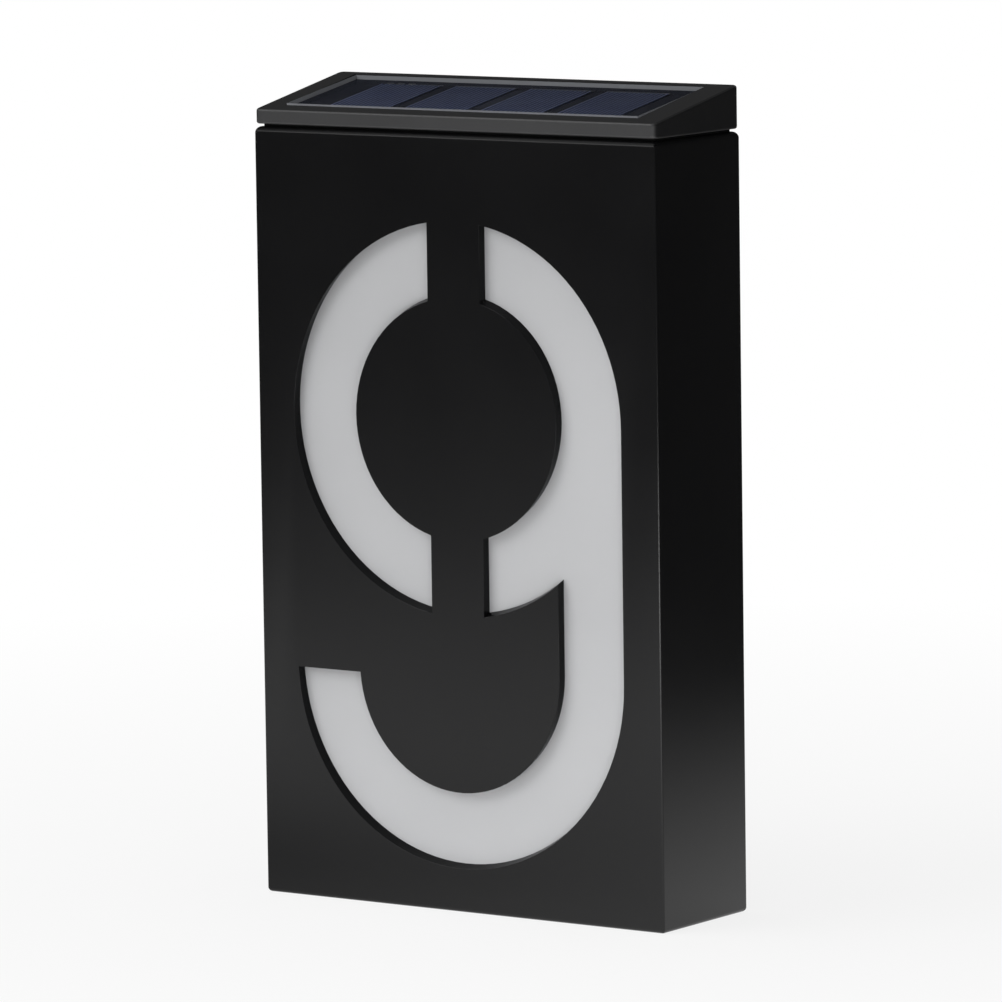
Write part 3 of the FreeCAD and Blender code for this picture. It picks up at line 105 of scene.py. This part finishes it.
class Graph:
    """A small builder for one node tree."""

    def __init__(self, tree, fresh=True):
        self.tree = tree
        if fresh:
            tree.nodes.clear()

    def node(self, kind, **values):
        made = self.tree.nodes.new(kind)
        for name, value in values.items():
            setattr(made, name, value)
        return made

    def put(self, node, socket, value):
        """Links an output to a socket, or sets the socket to a constant."""
        target = node.inputs[socket]
        if hasattr(value, "is_output"):
            self.tree.links.new(value, target)
        else:
            target.default_value = value

    def math(self, operation, first, second=0.0, clamp=False):
        made = self.node("ShaderNodeMath", operation=operation, use_clamp=clamp)
        self.put(made, 0, first)
        self.put(made, 1, second)
        return made.outputs[0]

    def measure(self, operation, first, second=None):
        """A vector operation that gives one number."""
        made = self.node("ShaderNodeVectorMath", operation=operation)
        self.put(made, 0, first)
        if second is not None:
            self.put(made, 1, second)
        return made.outputs["Value"]

    def spread(self, value, low, high, to_low=0.0, to_high=1.0):
        """Maps low..high to to_low..to_high and clamps outside it."""
        made = self.node("ShaderNodeMapRange")
        self.put(made, "Value", value)
        for name, number in (("From Min", low), ("From Max", high),
                             ("To Min", to_low), ("To Max", to_high)):
            self.put(made, name, number)
        return made.outputs["Result"]

    def mix(self, factor, first, second):
        made = self.node("ShaderNodeMix", data_type="RGBA")
        for socket, value in ((0, factor), (6, first), (7, second)):
            self.put(made, socket, value)
        return made.outputs[2]

    def mix_shaders(self, factor, first, second):
        made = self.node("ShaderNodeMixShader")
        for socket, value in enumerate((factor, first.outputs[0], second.outputs[0])):
            self.put(made, socket, value)
        return made

    def place(self, stretch=(1, 1, 1)):
        """The place on the object, stretched along its axes."""
        mapping = self.node("ShaderNodeMapping")
        self.put(mapping, "Vector", self.node("ShaderNodeTexCoord").outputs["Object"])
        self.put(mapping, "Scale", stretch)
        return mapping.outputs[0]

    def axes(self):
        """The place on the object as x, y and z."""
        made = self.node("ShaderNodeSeparateXYZ")
        self.put(made, 0, self.node("ShaderNodeTexCoord").outputs["Object"])
        return made.outputs

    def noise(self, scale, detail=3.0, stretch=(1, 1, 1)):
        made = self.node("ShaderNodeTexNoise")
        self.put(made, "Vector", self.place(stretch))
        self.put(made, "Scale", scale)
        self.put(made, "Detail", detail)
        self.put(made, "Roughness", 0.5)
        return made.outputs[0]

    def facing(self, direction):
        """How far the surface faces one fixed direction, from -1 to 1."""
        normal = self.node("ShaderNodeNewGeometry").outputs["True Normal"]
        return self.measure("DOT_PRODUCT", normal, direction)

    def relief(self, skin, height, depth, strength=1.0):
        """Gives a surface a relief of a depth in millimetres."""
        bump = self.node("ShaderNodeBump")
        self.put(bump, "Strength", strength)
        self.put(bump, "Distance", depth * MM)
        self.put(bump, "Height", height)
        self.put(skin, "Normal", bump.outputs[0])

    def scale_colour(self, skin, factor):
        """Multiplies the colour that a surface already has."""
        made = self.node("ShaderNodeVectorMath", operation="SCALE")
        self.put(made, 0, skin.inputs["Base Color"].links[0].from_socket)
        self.put(made, "Scale", factor)
        self.put(skin, "Base Color", made.outputs[0])


# ------------------------------------------------------------------ studio

DIFFUSE_LEVEL = 0.32                     # the sky as diffuse light
REFLECTED_LEVELS = (0.03, 0.12)          # the sky in reflections, away from and at the backdrop
BACKDROP_TOWARD = (-0.56, 0.82, 0.0)
BACKDROP_FADE = (0.45, 0.85)

FLOOR_RADIUS = 6.0
FLOOR_COLOUR = (0.80, 0.80, 0.80, 1)
GLOW_REACH = (0.08, 0.5)                 # distances from the object between which the glow grows
GLOW_SHARE = (0.84, 1.0)
CARD_MIDDLE = (-0.11, -0.16, 0.0)        # the floor is seen in reflections near this place only
CARD_FADE = (0.244, 0.524)
# a painted shadow of the sign in reflections: the floor is left out of them around this place
SHADE_MIDDLE = (-0.09, -0.06, 0.0)       # and less around this one
SHADE_RADIUS = 0.15
SHADE_SHARE = 0.65

# name, place, what it is aimed at, width, height, watts
LAMPS = (
    ("key", (-0.58, -0.90, 0.84), (0, 0, 0), 0.9, 0.9, 6.7),
    ("top", (-0.28, -0.10, 1.10), (0, 0, 0.05), 0.5, 0.8, 2.8),
    ("bounce", (0.18, -0.30, -0.08), (0, 0, -0.05), 0.30, 0.12, 0.55),
)


def make_world():
    """White where the camera looks past the object, a dim plain studio for the light itself."""
    world = bpy.data.worlds.new("studio")
    bpy.context.scene.world = world
    world.use_nodes = True
    g = Graph(world.node_tree)
    rays = g.node("ShaderNodeLightPath").outputs
    seen = g.math("MAXIMUM", rays["Is Camera Ray"], rays["Is Transmission Ray"])
    sky_place = g.node("ShaderNodeTexCoord").outputs["Generated"]
    behind = g.measure("DOT_PRODUCT", sky_place, BACKDROP_TOWARD)
    backdrop = g.spread(behind, *BACKDROP_FADE, *REFLECTED_LEVELS)
    glossy = rays["Is Glossy Ray"]
    level = g.math("ADD", g.math("MULTIPLY", glossy, backdrop),
                   g.math("MULTIPLY", g.math("SUBTRACT", 1.0, glossy), DIFFUSE_LEVEL))
    sky = g.node("ShaderNodeBackground")
    g.put(sky, "Color", WHITE)
    g.put(sky, "Strength", g.math("MAXIMUM", seen, level))
    g.put(g.node("ShaderNodeOutputWorld"), 0, sky.outputs[0])


def floor_material():
    """White for the camera, less so near the object, faded out of reflections far off, and
    cleared from reflections around a painted shadow of the object.
    """
    material = bpy.data.materials.new("floor_white")
    material.use_nodes = True
    g = Graph(material.node_tree)
    card = g.node("ShaderNodeBsdfDiffuse")
    g.put(card, "Color", FLOOR_COLOUR)
    glow = g.node("ShaderNodeEmission")
    g.put(glow, "Color", WHITE)
    g.put(glow, "Strength", 1.0)
    rays = g.node("ShaderNodeLightPath").outputs
    shown = g.math("MAXIMUM", rays["Is Camera Ray"], rays["Is Glossy Ray"])
    shown = g.math("MAXIMUM", shown, rays["Is Transmission Ray"])
    place = g.node("ShaderNodeTexCoord").outputs["Object"]
    far = g.spread(g.measure("LENGTH", place), *GLOW_REACH, *GLOW_SHARE)
    blend = g.mix_shaders(g.math("MULTIPLY", shown, far), card, glow)
    off_card = g.spread(g.measure("DISTANCE", place, CARD_MIDDLE), *CARD_FADE)
    # painted shadow: near SHADE_MIDDLE the floor turns clear in reflections, darkening them where
    # the sign's own shadow would lie
    shaded = g.spread(g.measure("DISTANCE", place, SHADE_MIDDLE),
                      0.0, SHADE_RADIUS, SHADE_SHARE, 0.0)
    gone = g.math("MULTIPLY", g.math("MAXIMUM", off_card, shaded), rays["Is Glossy Ray"])
    whole = g.mix_shaders(gone, blend, g.node("ShaderNodeBsdfTransparent"))
    g.put(g.node("ShaderNodeOutputMaterial"), 0, whole.outputs[0])
    return material


def make_floor():
    """A white card that keeps the object's shadow and fades into the backdrop."""
    mesh = bpy.data.meshes.new("floor")
    made = bmesh.new()
    bmesh.ops.create_circle(made, cap_ends=True, segments=96, radius=FLOOR_RADIUS)
    made.to_mesh(mesh)
    made.free()
    floor = bpy.data.objects.new("floor", mesh)
    floor.location.z = CAD_BOX[0].z
    bpy.context.scene.collection.objects.link(floor)
    mesh.materials.append(floor_material())


def make_lamps():
    for name, place, target, width, height, power in LAMPS:
        data = bpy.data.lights.new(name, "AREA")
        data.shape = "RECTANGLE"
        data.size = width
        data.size_y = height
        data.energy = power
        made = bpy.data.objects.new(name, data)
        made.location = place
        made.rotation_mode = "QUATERNION"
        made.rotation_quaternion = (Vector(target) - Vector(place)).to_track_quat("-Z", "Y")
        made.visible_camera = False
        bpy.context.scene.collection.objects.link(made)


# ------------------------------------------------------------------ materials

NOISE_SPAN = (0.3, 0.7)                  # where nearly all values of a noise lie
EDGE_SPAN = (0.52, 0.60)                 # pointiness from a flat face to a worn edge
WEAR_SPAN = (0.35, 0.65)


def scaled(colour, factor, lift=0.0):
    return (*[min(1.0, part * factor + lift) for part in colour], 1.0)


def start(name):
    """A new material with one principled surface."""
    material = bpy.data.materials.new(name)
    material.use_nodes = True
    g = Graph(material.node_tree)
    skin = g.node("ShaderNodeBsdfPrincipled")
    g.put(g.node("ShaderNodeOutputMaterial"), 0, skin.outputs[0])
    return material, g, skin


def reopen(material):
    """The graph and the principled surface of a material that is already made."""
    skin = next(n for n in material.node_tree.nodes if n.type == "BSDF_PRINCIPLED")
    return Graph(material.node_tree, fresh=False), skin


def finish(name, colour, rough, metal=0.0, specular=0.5, vary=0.12, patch=0.08, grain=0.03,
           fine=4200.0, cloud=38.0, stretch=(1, 1, 1), edge=1.3, lift=0.004, coat=0.0):
    """A procedural surface: cloudy and speckled colour, uneven gloss, fine relief, rubbed edges.

    grain is the height of the relief in millimetres, fine its frequency per metre, cloud the
    frequency of the slow changes, and edge and lift how much lighter a rubbed edge is.
    """
    material, g, skin = start(name)
    slow = g.noise(cloud, 4.0)
    speck = g.noise(fine, 2.0, stretch)
    edges = g.spread(g.node("ShaderNodeNewGeometry").outputs["Pointiness"], *EDGE_SPAN)
    rubbed = g.math("MULTIPLY", edges, g.spread(slow, *WEAR_SPAN), clamp=True)
    mottle = g.math("ADD", g.math("MULTIPLY", slow, 0.5), g.math("MULTIPLY", speck, 0.5))
    body = g.mix(g.spread(mottle, *NOISE_SPAN),
                 scaled(colour, 1 - vary), scaled(colour, 1 + vary))
    g.put(skin, "Base Color", g.mix(rubbed, body, scaled(colour, edge, lift)))
    g.put(skin, "Metallic", metal)
    g.put(skin, "Roughness", g.spread(slow, *NOISE_SPAN, rough - patch / 2, rough + patch / 2))
    g.put(skin, "Specular IOR Level", specular)
    g.put(skin, "Coat Weight", coat)
    g.relief(skin, speck, grain)
    return material


def clear_cover():
    """Clear acrylic: see-through over the cells, with frosted sawn edges that catch the light."""
    material, g, skin = start("acrylic_clear")
    flat = g.spread(g.math("ABSOLUTE", g.facing(PANEL_UP)), 0.90, 0.97)
    haze = g.noise(55.0, 4.0)
    hair = g.noise(900.0, 2.0, (1, 14, 1))
    scratches = g.math("MULTIPLY", g.spread(hair, 0.60, 0.75), 0.04)
    g.put(skin, "Base Color", g.mix(flat, (0.62, 0.64, 0.68, 1), (0.03, 0.035, 0.05, 1)))
    g.put(skin, "Roughness", g.spread(haze, *NOISE_SPAN, 0.16, 0.30))
    g.put(skin, "Alpha", g.math("ADD", g.spread(flat, 0.0, 1.0, 0.60, 0.06), scratches))
    g.relief(skin, haze, 0.01, 0.5)
    return material


def silicon():
    """A dark blue cell with the slight flake and streaks of its crystal."""
    material, g, skin = start("silicon_blue")
    flake = g.node("ShaderNodeTexVoronoi")
    g.put(flake, "Vector", g.place((1.0, 0.6, 1.0)))
    g.put(flake, "Scale", 420.0)
    tone = g.node("ShaderNodeSeparateColor")
    g.put(tone, 0, flake.outputs["Color"])
    slow = g.noise(60.0)
    amount = g.math("ADD", g.math("MULTIPLY", tone.outputs[0], 0.35),
                    g.math("MULTIPLY", slow, 0.65))
    g.put(skin, "Base Color", g.mix(amount, (0.020, 0.036, 0.112, 1), (0.030, 0.052, 0.155, 1)))
    g.put(skin, "Roughness", g.spread(slow, *NOISE_SPAN, 0.28, 0.42))
    g.put(skin, "Specular IOR Level", 0.12)
    g.relief(skin, g.noise(1400.0, 2.0, (1, 0.15, 1)), 0.004, 0.4)
    return material


def opal():
    """White diffusing acrylic: faint haze, light carried inside it, painted bounce light lower
    down.
    """
    material = finish("opal_white", (0.56, 0.564, 0.575), 0.42, vary=0.015, patch=0.10,
                      grain=0.006, fine=2600.0, cloud=14.0, edge=1.05)
    g, skin = reopen(material)
    g.put(skin, "Subsurface Weight", 0.10)
    g.put(skin, "Subsurface Radius", (1.0, 1.0, 1.0))
    g.put(skin, "Subsurface Scale", 0.8 * MM)
    # painted light: the colour grows lighter lower down, standing in for light bounced up from
    # the floor
    g.scale_colour(skin, g.spread(g.axes()[2], -20.0 * MM, -75.0 * MM, 1.0, 1.17))
    return material


def case_plastic():
    """The case's satin black, duller on the walls of the numeral's cut and on its top edge."""
    glossy, dull = 0.42, 0.08
    material = finish("satin_black", (0.0052, 0.0052, 0.0056), 0.25, specular=glossy, vary=0.10,
                      patch=0.03, grain=0.012, fine=3600.0, edge=1.0, lift=0.0)
    g, skin = reopen(material)
    x, _, z = g.axes()
    in_width = g.spread(g.math("ABSOLUTE", x), 47.0 * MM, 47.5 * MM, 1.0, 0.0)
    in_height = g.spread(g.math("ABSOLUTE", z), 83.0 * MM, 83.5 * MM, 1.0, 0.0)
    sideways = g.spread(g.math("ABSOLUTE", g.facing((0, 1, 0))), 0.5, 0.8, 1.0, 0.0)
    cut = g.math("MULTIPLY", g.math("MULTIPLY", in_width, in_height), sideways)
    top_edge = g.math("MULTIPLY", g.spread(z, 88.5 * MM, 89.0 * MM),
                      g.spread(g.facing((0, 0, 1)), 0.1, 0.4))
    share = g.math("MAXIMUM", cut, top_edge)
    g.put(skin, "Specular IOR Level", g.spread(share, 0.0, 1.0, glossy, dull))
    return material


def cap_plastic():
    """The cap's matt black, duller on its two ends and its rim, with painted shade darkening
    them.
    """
    glossy, dull, painted_shade_level = 0.95, 0.30, 0.55
    material = finish("matt_black", (0.022, 0.022, 0.0235), 0.56, specular=glossy, vary=0.18,
                      patch=0.04, grain=0.03, fine=2400.0, edge=1.0, lift=0.0)
    g, skin = reopen(material)
    end = g.spread(g.math("ABSOLUTE", g.facing((1, 0, 0))), 0.6, 0.9)
    rim = g.spread(g.facing((0, 0, 1)), 0.6, 0.9)
    share = g.math("MAXIMUM", end, rim)
    g.put(skin, "Specular IOR Level", g.spread(share, 0.0, 1.0, glossy, dull))
    # painted shade: the ends and the rim are coloured darker than the front
    g.scale_colour(skin, g.spread(share, 0.0, 1.0, 1.0, painted_shade_level))
    return material


def make_looks():
    """One material for each of the record's slots."""
    return {
        "case_black": case_plastic(),
        "cap_black": cap_plastic(),
        "diffuser_white": opal(),
        "cell_blue": silicon(),
        "cover_clear": clear_cover(),
        "tray_white": finish("reflector_white", (0.74, 0.74, 0.73), 0.38, vary=0.02, grain=0.01),
        "back_black": finish("grained_black", (0.012, 0.012, 0.013), 0.46, vary=0.10, patch=0.03,
                             grain=0.06, fine=1500.0, edge=1.0, lift=0.0),
        "seal_rubber": finish("rubber_black", (0.010, 0.010, 0.010), 0.72, specular=0.3,
                              grain=0.03),
        "gasket_foam": finish("foam_grey", (0.045, 0.045, 0.048), 0.90, specular=0.2, vary=0.25,
                              grain=0.12, fine=2200.0),
        "screw_steel": finish("zinc_steel", (0.50, 0.50, 0.48), 0.30, metal=1.0, vary=0.10,
                              patch=0.14, grain=0.008, cloud=160.0, edge=1.25),
        "base_black": finish("inner_black", (0.020, 0.020, 0.021), 0.48, vary=0.12, grain=0.03,
                             fine=2600.0, edge=1.8, lift=0.010),
        "panel_sheet": finish("back_sheet", (0.0105, 0.0125, 0.0220), 0.50, specular=0.15,
                              vary=0.10, grain=0.01, lift=0.0),
        "ribbon_tin": finish("tinned_copper", (0.66, 0.65, 0.62), 0.34, metal=1.0, vary=0.10,
                             patch=0.2, grain=0.02, fine=1800.0),
        "board_green": finish("solder_mask", (0.010, 0.075, 0.032), 0.30, vary=0.18, patch=0.08,
                              grain=0.012, fine=1400.0, stretch=(6, 1, 1), cloud=220.0, coat=0.2),
        "board_white": finish("white_mask", (0.70, 0.70, 0.67), 0.34, vary=0.03, grain=0.01,
                              coat=0.2),
        "chip_black": finish("chip_epoxy", (0.016, 0.016, 0.017), 0.55, vary=0.20, grain=0.02,
                             fine=6000.0),
        "coil_dark": finish("ferrite_grey", (0.035, 0.034, 0.033), 0.60, vary=0.25, grain=0.03,
                            fine=5000.0),
        "can_metal": finish("capacitor_can", (0.62, 0.62, 0.64), 0.22, metal=1.0, vary=0.05,
                            grain=0.004, stretch=(1, 1, 12)),
        "switch_metal": finish("switch_plate", (0.58, 0.58, 0.57), 0.26, metal=1.0, vary=0.07,
                               grain=0.006, stretch=(1, 9, 1)),
        "slider_black": finish("slider_nylon", (0.028, 0.028, 0.029), 0.44, grain=0.02, edge=1.9,
                               lift=0.02),
        "battery_sleeve": finish("sleeve_film", (0.045, 0.21, 0.17), 0.24, vary=0.06, patch=0.10,
                                 grain=0.01, fine=900.0, coat=0.3),
        "contact_nickel": finish("nickel_plate", (0.66, 0.63, 0.57), 0.24, metal=1.0, vary=0.08,
                                 patch=0.16, grain=0.006, cloud=240.0),
        "pin_steel": finish("ground_steel", (0.52, 0.52, 0.53), 0.20, metal=1.0, vary=0.06,
                            grain=0.006, stretch=(0.1, 1, 1)),
        "led_resin": finish("led_package", (0.78, 0.76, 0.70), 0.30, vary=0.03, grain=0.006),
        "lead_red": finish("lead_sleeve_red", (0.33, 0.018, 0.015), 0.36, vary=0.08, grain=0.012),
        "lead_grey": finish("lead_sleeve_grey", (0.20, 0.20, 0.21), 0.38, vary=0.08, grain=0.012),
    }


def dress_all(looks):
    """Gives every CAD node the material of its slot."""
    for entry in frame["record"]["subparts"]:
        mesh = frame["nodes"][entry["node"]].data
        mesh.materials.clear()
        mesh.materials.append(looks[entry["material_slot"]])


# ------------------------------------------------------------------ mesh helpers

def piece(name, made, material, body):
    """Turns a bmesh into a piece that rides on a body."""
    mesh = bpy.data.meshes.new(name)
    bmesh.ops.recalc_face_normals(made, faces=made.faces)
    made.to_mesh(mesh)
    made.free()
    mesh.materials.append(material)
    thing = bpy.data.objects.new(name, mesh)
    bpy.context.scene.collection.objects.link(thing)
    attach(thing, body)
    return thing


def smooth_by_angle(thing, degrees=35.0):
    """Smooth shading that keeps edges sharper than the angle."""
    thing.data.shade_smooth()
    thing.data.set_sharp_from_angle(angle=math.radians(degrees))


def bevel(thing, width, degrees=40.0):
    """Rounds the edges that are sharper than the angle, by a width in millimetres."""
    added = thing.modifiers.new("soft_edges", "BEVEL")
    added.width = width * MM
    added.segments = 2
    added.limit_method = "ANGLE"
    added.angle_limit = math.radians(degrees)


def add_block(made, low, high, turn=None):
    """Adds a box between two corners, turned by a matrix when one is given."""
    middle = (Vector(low) + Vector(high)) / 2
    sizes = Vector(high) - Vector(low)
    matrix = Matrix.Translation(middle) @ Matrix.Diagonal((*sizes, 1.0))
    if turn is not None:
        matrix = turn @ matrix
    bmesh.ops.create_cube(made, size=1.0, matrix=matrix)


def add_lathe(made, profile, segments, matrix):
    """Turns a list of (radius, height) about Z and closes both ends."""
    rings = []
    for radius, height in profile:
        ring = []
        for step in range(segments):
            turn = 2 * math.pi * step / segments
            point = Vector((radius * math.cos(turn), radius * math.sin(turn), height))
            ring.append(made.verts.new(matrix @ point))
        rings.append(ring)
    for low, high in zip(rings, rings[1:]):
        for step in range(segments):
            follower = (step + 1) % segments
            made.faces.new((low[step], low[follower], high[follower], high[step]))
    made.faces.new(rings[0])
    made.faces.new(rings[-1])


def highest_plane(node):
    """A point and the normal of the largest upward face of a node."""
    mesh = frame["nodes"][node].data
    upward = (p for p in mesh.polygons if p.normal.z > 0.8)
    best = max(upward, key=lambda p: p.area * p.normal.z)
    return best.center.copy(), best.normal.copy()


# ------------------------------------------------------------------ front case

# sizes in millimetres, angles in degrees
WELD = 0.002
WALL_REACH = 0.05
NUMERAL_HALF_WIDTH = 46.5
NUMERAL_HEIGHTS = (-82, 74)
CUT_RISE = 0.92
COPLANAR = 0.4
ALONG_AXIS = 0.9999
CASE_EDGE = 0.12
CASE_SHARP = 30.0


def make_front_case(looks):
    """The case with soft edges, its numeral cut rising a little towards the inside."""
    made = bmesh.new()
    made.from_mesh(frame["nodes"]["front_case"].data)
    bmesh.ops.remove_doubles(made, verts=made.verts, dist=WELD * MM)
    back_of_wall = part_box("diffuser_panel")[0].y
    lowest, highest = (height * MM for height in NUMERAL_HEIGHTS)
    for vert in made.verts:
        on_wall = abs(vert.co.y - back_of_wall) < WALL_REACH * MM
        in_field = abs(vert.co.x) < NUMERAL_HALF_WIDTH * MM and lowest < vert.co.z < highest
        if on_wall and in_field:
            vert.co.z += CUT_RISE * MM
    bmesh.ops.dissolve_limit(made, angle_limit=math.radians(COPLANAR),
                             verts=made.verts, edges=made.edges)
    for face in made.faces:
        face.smooth = max(abs(part) for part in face.normal) < ALONG_AXIS
    case = piece("front_case_shell", made, looks["case_black"], "case")
    case.data.set_sharp_from_angle(angle=math.radians(CASE_SHARP))
    bevel(case, CASE_EDGE, CASE_SHARP)
    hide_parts("front_case")


# ------------------------------------------------------------------ solar panel

CELLS = range(1, 5)
FINGERS = 14
FINGER_HALF_WIDTH = 0.10
FINGER_HEIGHTS = (0.02, 0.05)
FINGER_MARGIN = 0.7


def panel_frame(node):
    """A matrix whose X runs along the sign, Y up the slope and Z out of a cell's face."""
    point, normal = highest_plane(node)
    along = Vector((1, 0, 0))
    up_slope = normal.cross(along).normalized()
    turn = Matrix((along, up_slope, normal)).transposed().to_4x4()
    return Matrix.Translation(point) @ turn


def make_cell_fingers():
    """The fine silver collector lines that are printed on each cell from front to rear."""
    silver = finish("printed_silver", (0.135, 0.165, 0.30), 0.50, specular=0.2, vary=0.10,
                    grain=0.002)
    made = bmesh.new()
    half = FINGER_HALF_WIDTH * MM
    bottom, top = (height * MM for height in FINGER_HEIGHTS)
    for number in CELLS:
        node = "solar_cell_%d" % number
        matrix = panel_frame(node)
        origin = matrix.translation
        slope = matrix.col[1].y
        low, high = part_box(node)
        front = (low.y - origin.y) / slope + FINGER_MARGIN * MM
        rear = (high.y - origin.y) / slope - FINGER_MARGIN * MM
        left = low.x - origin.x
        right = high.x - origin.x
        for line in range(FINGERS):
            across = left + (right - left) * (line + 0.5) / FINGERS
            add_block(made, (across - half, front, bottom), (across + half, rear, top), matrix)
    piece("cell_fingers", made, silver, "solar_module")


# ------------------------------------------------------------------ electronics

# All sizes are in millimetres. A profile is a list of (radius, height).
LEDS = range(1, 7)
WINDOW = [(1.00, -0.02), (1.00, 0.02), (0.86, 0.08), (0.55, 0.13), (0.15, 0.15)]
WINDOW_SHAPE = (1.3, 1.0, -1.0, 1.0)
FILLET = [(0.7, 0), (0.62, 0.10), (0.3, 0.24)]
FILLET_SHAPE = (0.6, 1.6, -1.0, 1.0)
FILLET_OFFSET = 0.25

RESISTOR_HALF_DEPTH = 0.4
END_HALF_DEPTH = 0.42
LED_RESISTOR = {"half_length": 0.6, "height": 0.45,
                "end_place": 0.72, "end_half_length": 0.16, "end_height": 0.47}
BOARD_RESISTOR = {"half_length": 0.55, "height": 0.42,
                  "end_place": 0.68, "end_half_length": 0.17, "end_height": 0.44}
BOARD_RESISTOR_PLACES = [(21.5, -12.0), (21.5, -15.0), (24.5, -12.0),
                         (37.5, -18.0), (37.5, -20.6), (24.5, -15.0)]

PINS = 4
PIN_HALF_WIDTH = 0.2
PIN_LENGTH = 0.9
PIN_HEIGHT = 0.15


def in_metres(profile):
    return [(radius * MM, height * MM) for radius, height in profile]


def add_resistor(bodies, solder, place, level, up, kind):
    """Adds a chip resistor on the upper (up 1) or lower (up -1) side of a board at a level."""
    x, y = place

    def block(made, middle, half_length, half_depth, height):
        bottom, top = sorted((level, level + up * height * MM))
        add_block(made, (middle - half_length * MM, y - half_depth * MM, bottom),
                  (middle + half_length * MM, y + half_depth * MM, top))

    block(bodies, x, kind["half_length"], RESISTOR_HALF_DEPTH, kind["height"])
    for way in (-1, 1):
        end = x + way * kind["end_place"] * MM
        block(solder, end, kind["end_half_length"], END_HALF_DEPTH, kind["end_height"])


def make_led_windows():
    """The yellow phosphor window in each package, a shallow dome facing down."""
    phosphor = finish("phosphor", (0.78, 0.60, 0.16), 0.25, vary=0.05, grain=0.01, fine=5000.0)
    made = bmesh.new()
    for number in LEDS:
        low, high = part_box("led_%d" % number)
        centre = Vector(((low.x + high.x) / 2, (low.y + high.y) / 2, low.z))
        matrix = Matrix.Translation(centre) @ Matrix.Diagonal(WINDOW_SHAPE)
        add_lathe(made, in_metres(WINDOW), 32, matrix)
    windows = piece("led_windows", made, phosphor, "solar_module")
    smooth_by_angle(windows)


def make_led_board_parts(looks):
    """Solder fillets at both ends of each LED, and a resistor between each two of them."""
    tin = finish("solder_bright", (0.70, 0.70, 0.68), 0.22, metal=1.0, vary=0.05, grain=0.01)
    solder = bmesh.new()
    chips = bmesh.new()
    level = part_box("led_board")[0].z
    for number in LEDS:
        low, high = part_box("led_%d" % number)
        depth = (low.y + high.y) / 2
        for edge, way in ((low.x, -1), (high.x, 1)):
            centre = (edge + way * FILLET_OFFSET * MM, depth, level)
            matrix = Matrix.Translation(centre) @ Matrix.Diagonal(FILLET_SHAPE)
            add_lathe(solder, in_metres(FILLET), 24, matrix)
        if number + 1 in LEDS:
            between = (high.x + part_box("led_%d" % (number + 1))[0].x) / 2
            add_resistor(chips, solder, (between, depth), level, -1, LED_RESISTOR)
    fillets = piece("led_solder", solder, tin, "solar_module")
    smooth_by_angle(fillets)
    resistors = piece("led_resistors", chips, looks["chip_black"], "solar_module")
    bevel(resistors, 0.05)


def make_control_board_parts(looks):
    """Pins of the driver, and small resistors with their solder ends."""
    tin = finish("solder_joint", (0.68, 0.68, 0.66), 0.25, metal=1.0, vary=0.05, grain=0.01)
    chip_low, chip_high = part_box("driver_chip")
    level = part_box("control_board")[1].z
    solder = bmesh.new()
    bodies = bmesh.new()
    half = PIN_HALF_WIDTH * MM
    for row, edge in ((-1, chip_low.y), (1, chip_high.y)):
        for pin in range(PINS):
            across = chip_low.x + (chip_high.x - chip_low.x) * (pin + 0.5) / PINS
            near, far = sorted((edge, edge + row * PIN_LENGTH * MM))
            add_block(solder, (across - half, near, level),
                      (across + half, far, level + PIN_HEIGHT * MM))
    for across, along in BOARD_RESISTOR_PLACES:
        add_resistor(bodies, solder, (across * MM, along * MM), level, 1, BOARD_RESISTOR)
    joints = piece("board_solder", solder, tin, "solar_module")
    bevel(joints, 0.04)
    parts = piece("board_resistors", bodies, looks["chip_black"], "solar_module")
    bevel(parts, 0.05)


# ------------------------------------------------------------------ battery

NUB_LENGTH = 1.6


def make_battery(looks):
    """A sleeved cell: rolled ends, a groove under the cap, a steel can end and a nub."""
    low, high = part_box("battery_cell")
    radius = (high.z - low.z) / 2
    length = high.x - low.x
    can_end = length - NUB_LENGTH * MM
    base = Vector((low.x, (low.y + high.y) / 2, (low.z + high.z) / 2))
    matrix = Matrix.Translation(base) @ Matrix.Rotation(math.radians(90), 4, "Y")

    def ring(share, start, offset=0.0):
        """A share of the radius at a distance in millimetres past a place on the axis."""
        return radius * share, start + offset * MM

    def turned(name, profile, slot):
        made = bmesh.new()
        add_lathe(made, profile, 64, matrix)
        thing = piece(name, made, looks[slot], "solar_module")
        smooth_by_angle(thing, 30.0)
        return thing

    can = [ring(0.60, 0), ring(0.90, 0, 0.02), ring(0.955, 0, 0.4),
           ring(0.955, can_end, -0.8), ring(0.90, can_end, -0.1), ring(0.80, can_end),
           ring(0.50, can_end, -0.15), ring(0.40, can_end),
           ring(0.385, length, -0.25), ring(0.33, length)]
    sleeve = [ring(0.82, 0, 0.03), ring(0.93, 0, 0.04), ring(0.99, 0, 0.25), ring(1, 0, 0.7),
              ring(1, can_end, -4.2), ring(0.985, can_end, -3.7), ring(0.965, can_end, -3.2),
              ring(0.985, can_end, -2.7), ring(1, can_end, -2.2), ring(1, can_end, -0.7),
              ring(0.99, can_end, -0.25), ring(0.93, can_end, 0.03), ring(0.84, can_end, 0.04)]
    turned("battery_can_body", can, "contact_nickel")
    film = turned("battery_film", sleeve, "battery_sleeve")
    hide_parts("battery_cell")


# ------------------------------------------------------------------ the scene

PANEL_UP = tuple(highest_plane("panel_cover")[1])

make_camera()
make_world()
make_floor()
make_lamps()
looks = make_looks()
dress_all(looks)
make_front_case(looks)
make_cell_fingers()
make_led_windows()
make_led_board_parts(looks)
make_control_board_parts(looks)
make_battery(looks)

bpy.context.scene.view_settings.view_transform = "Standard"
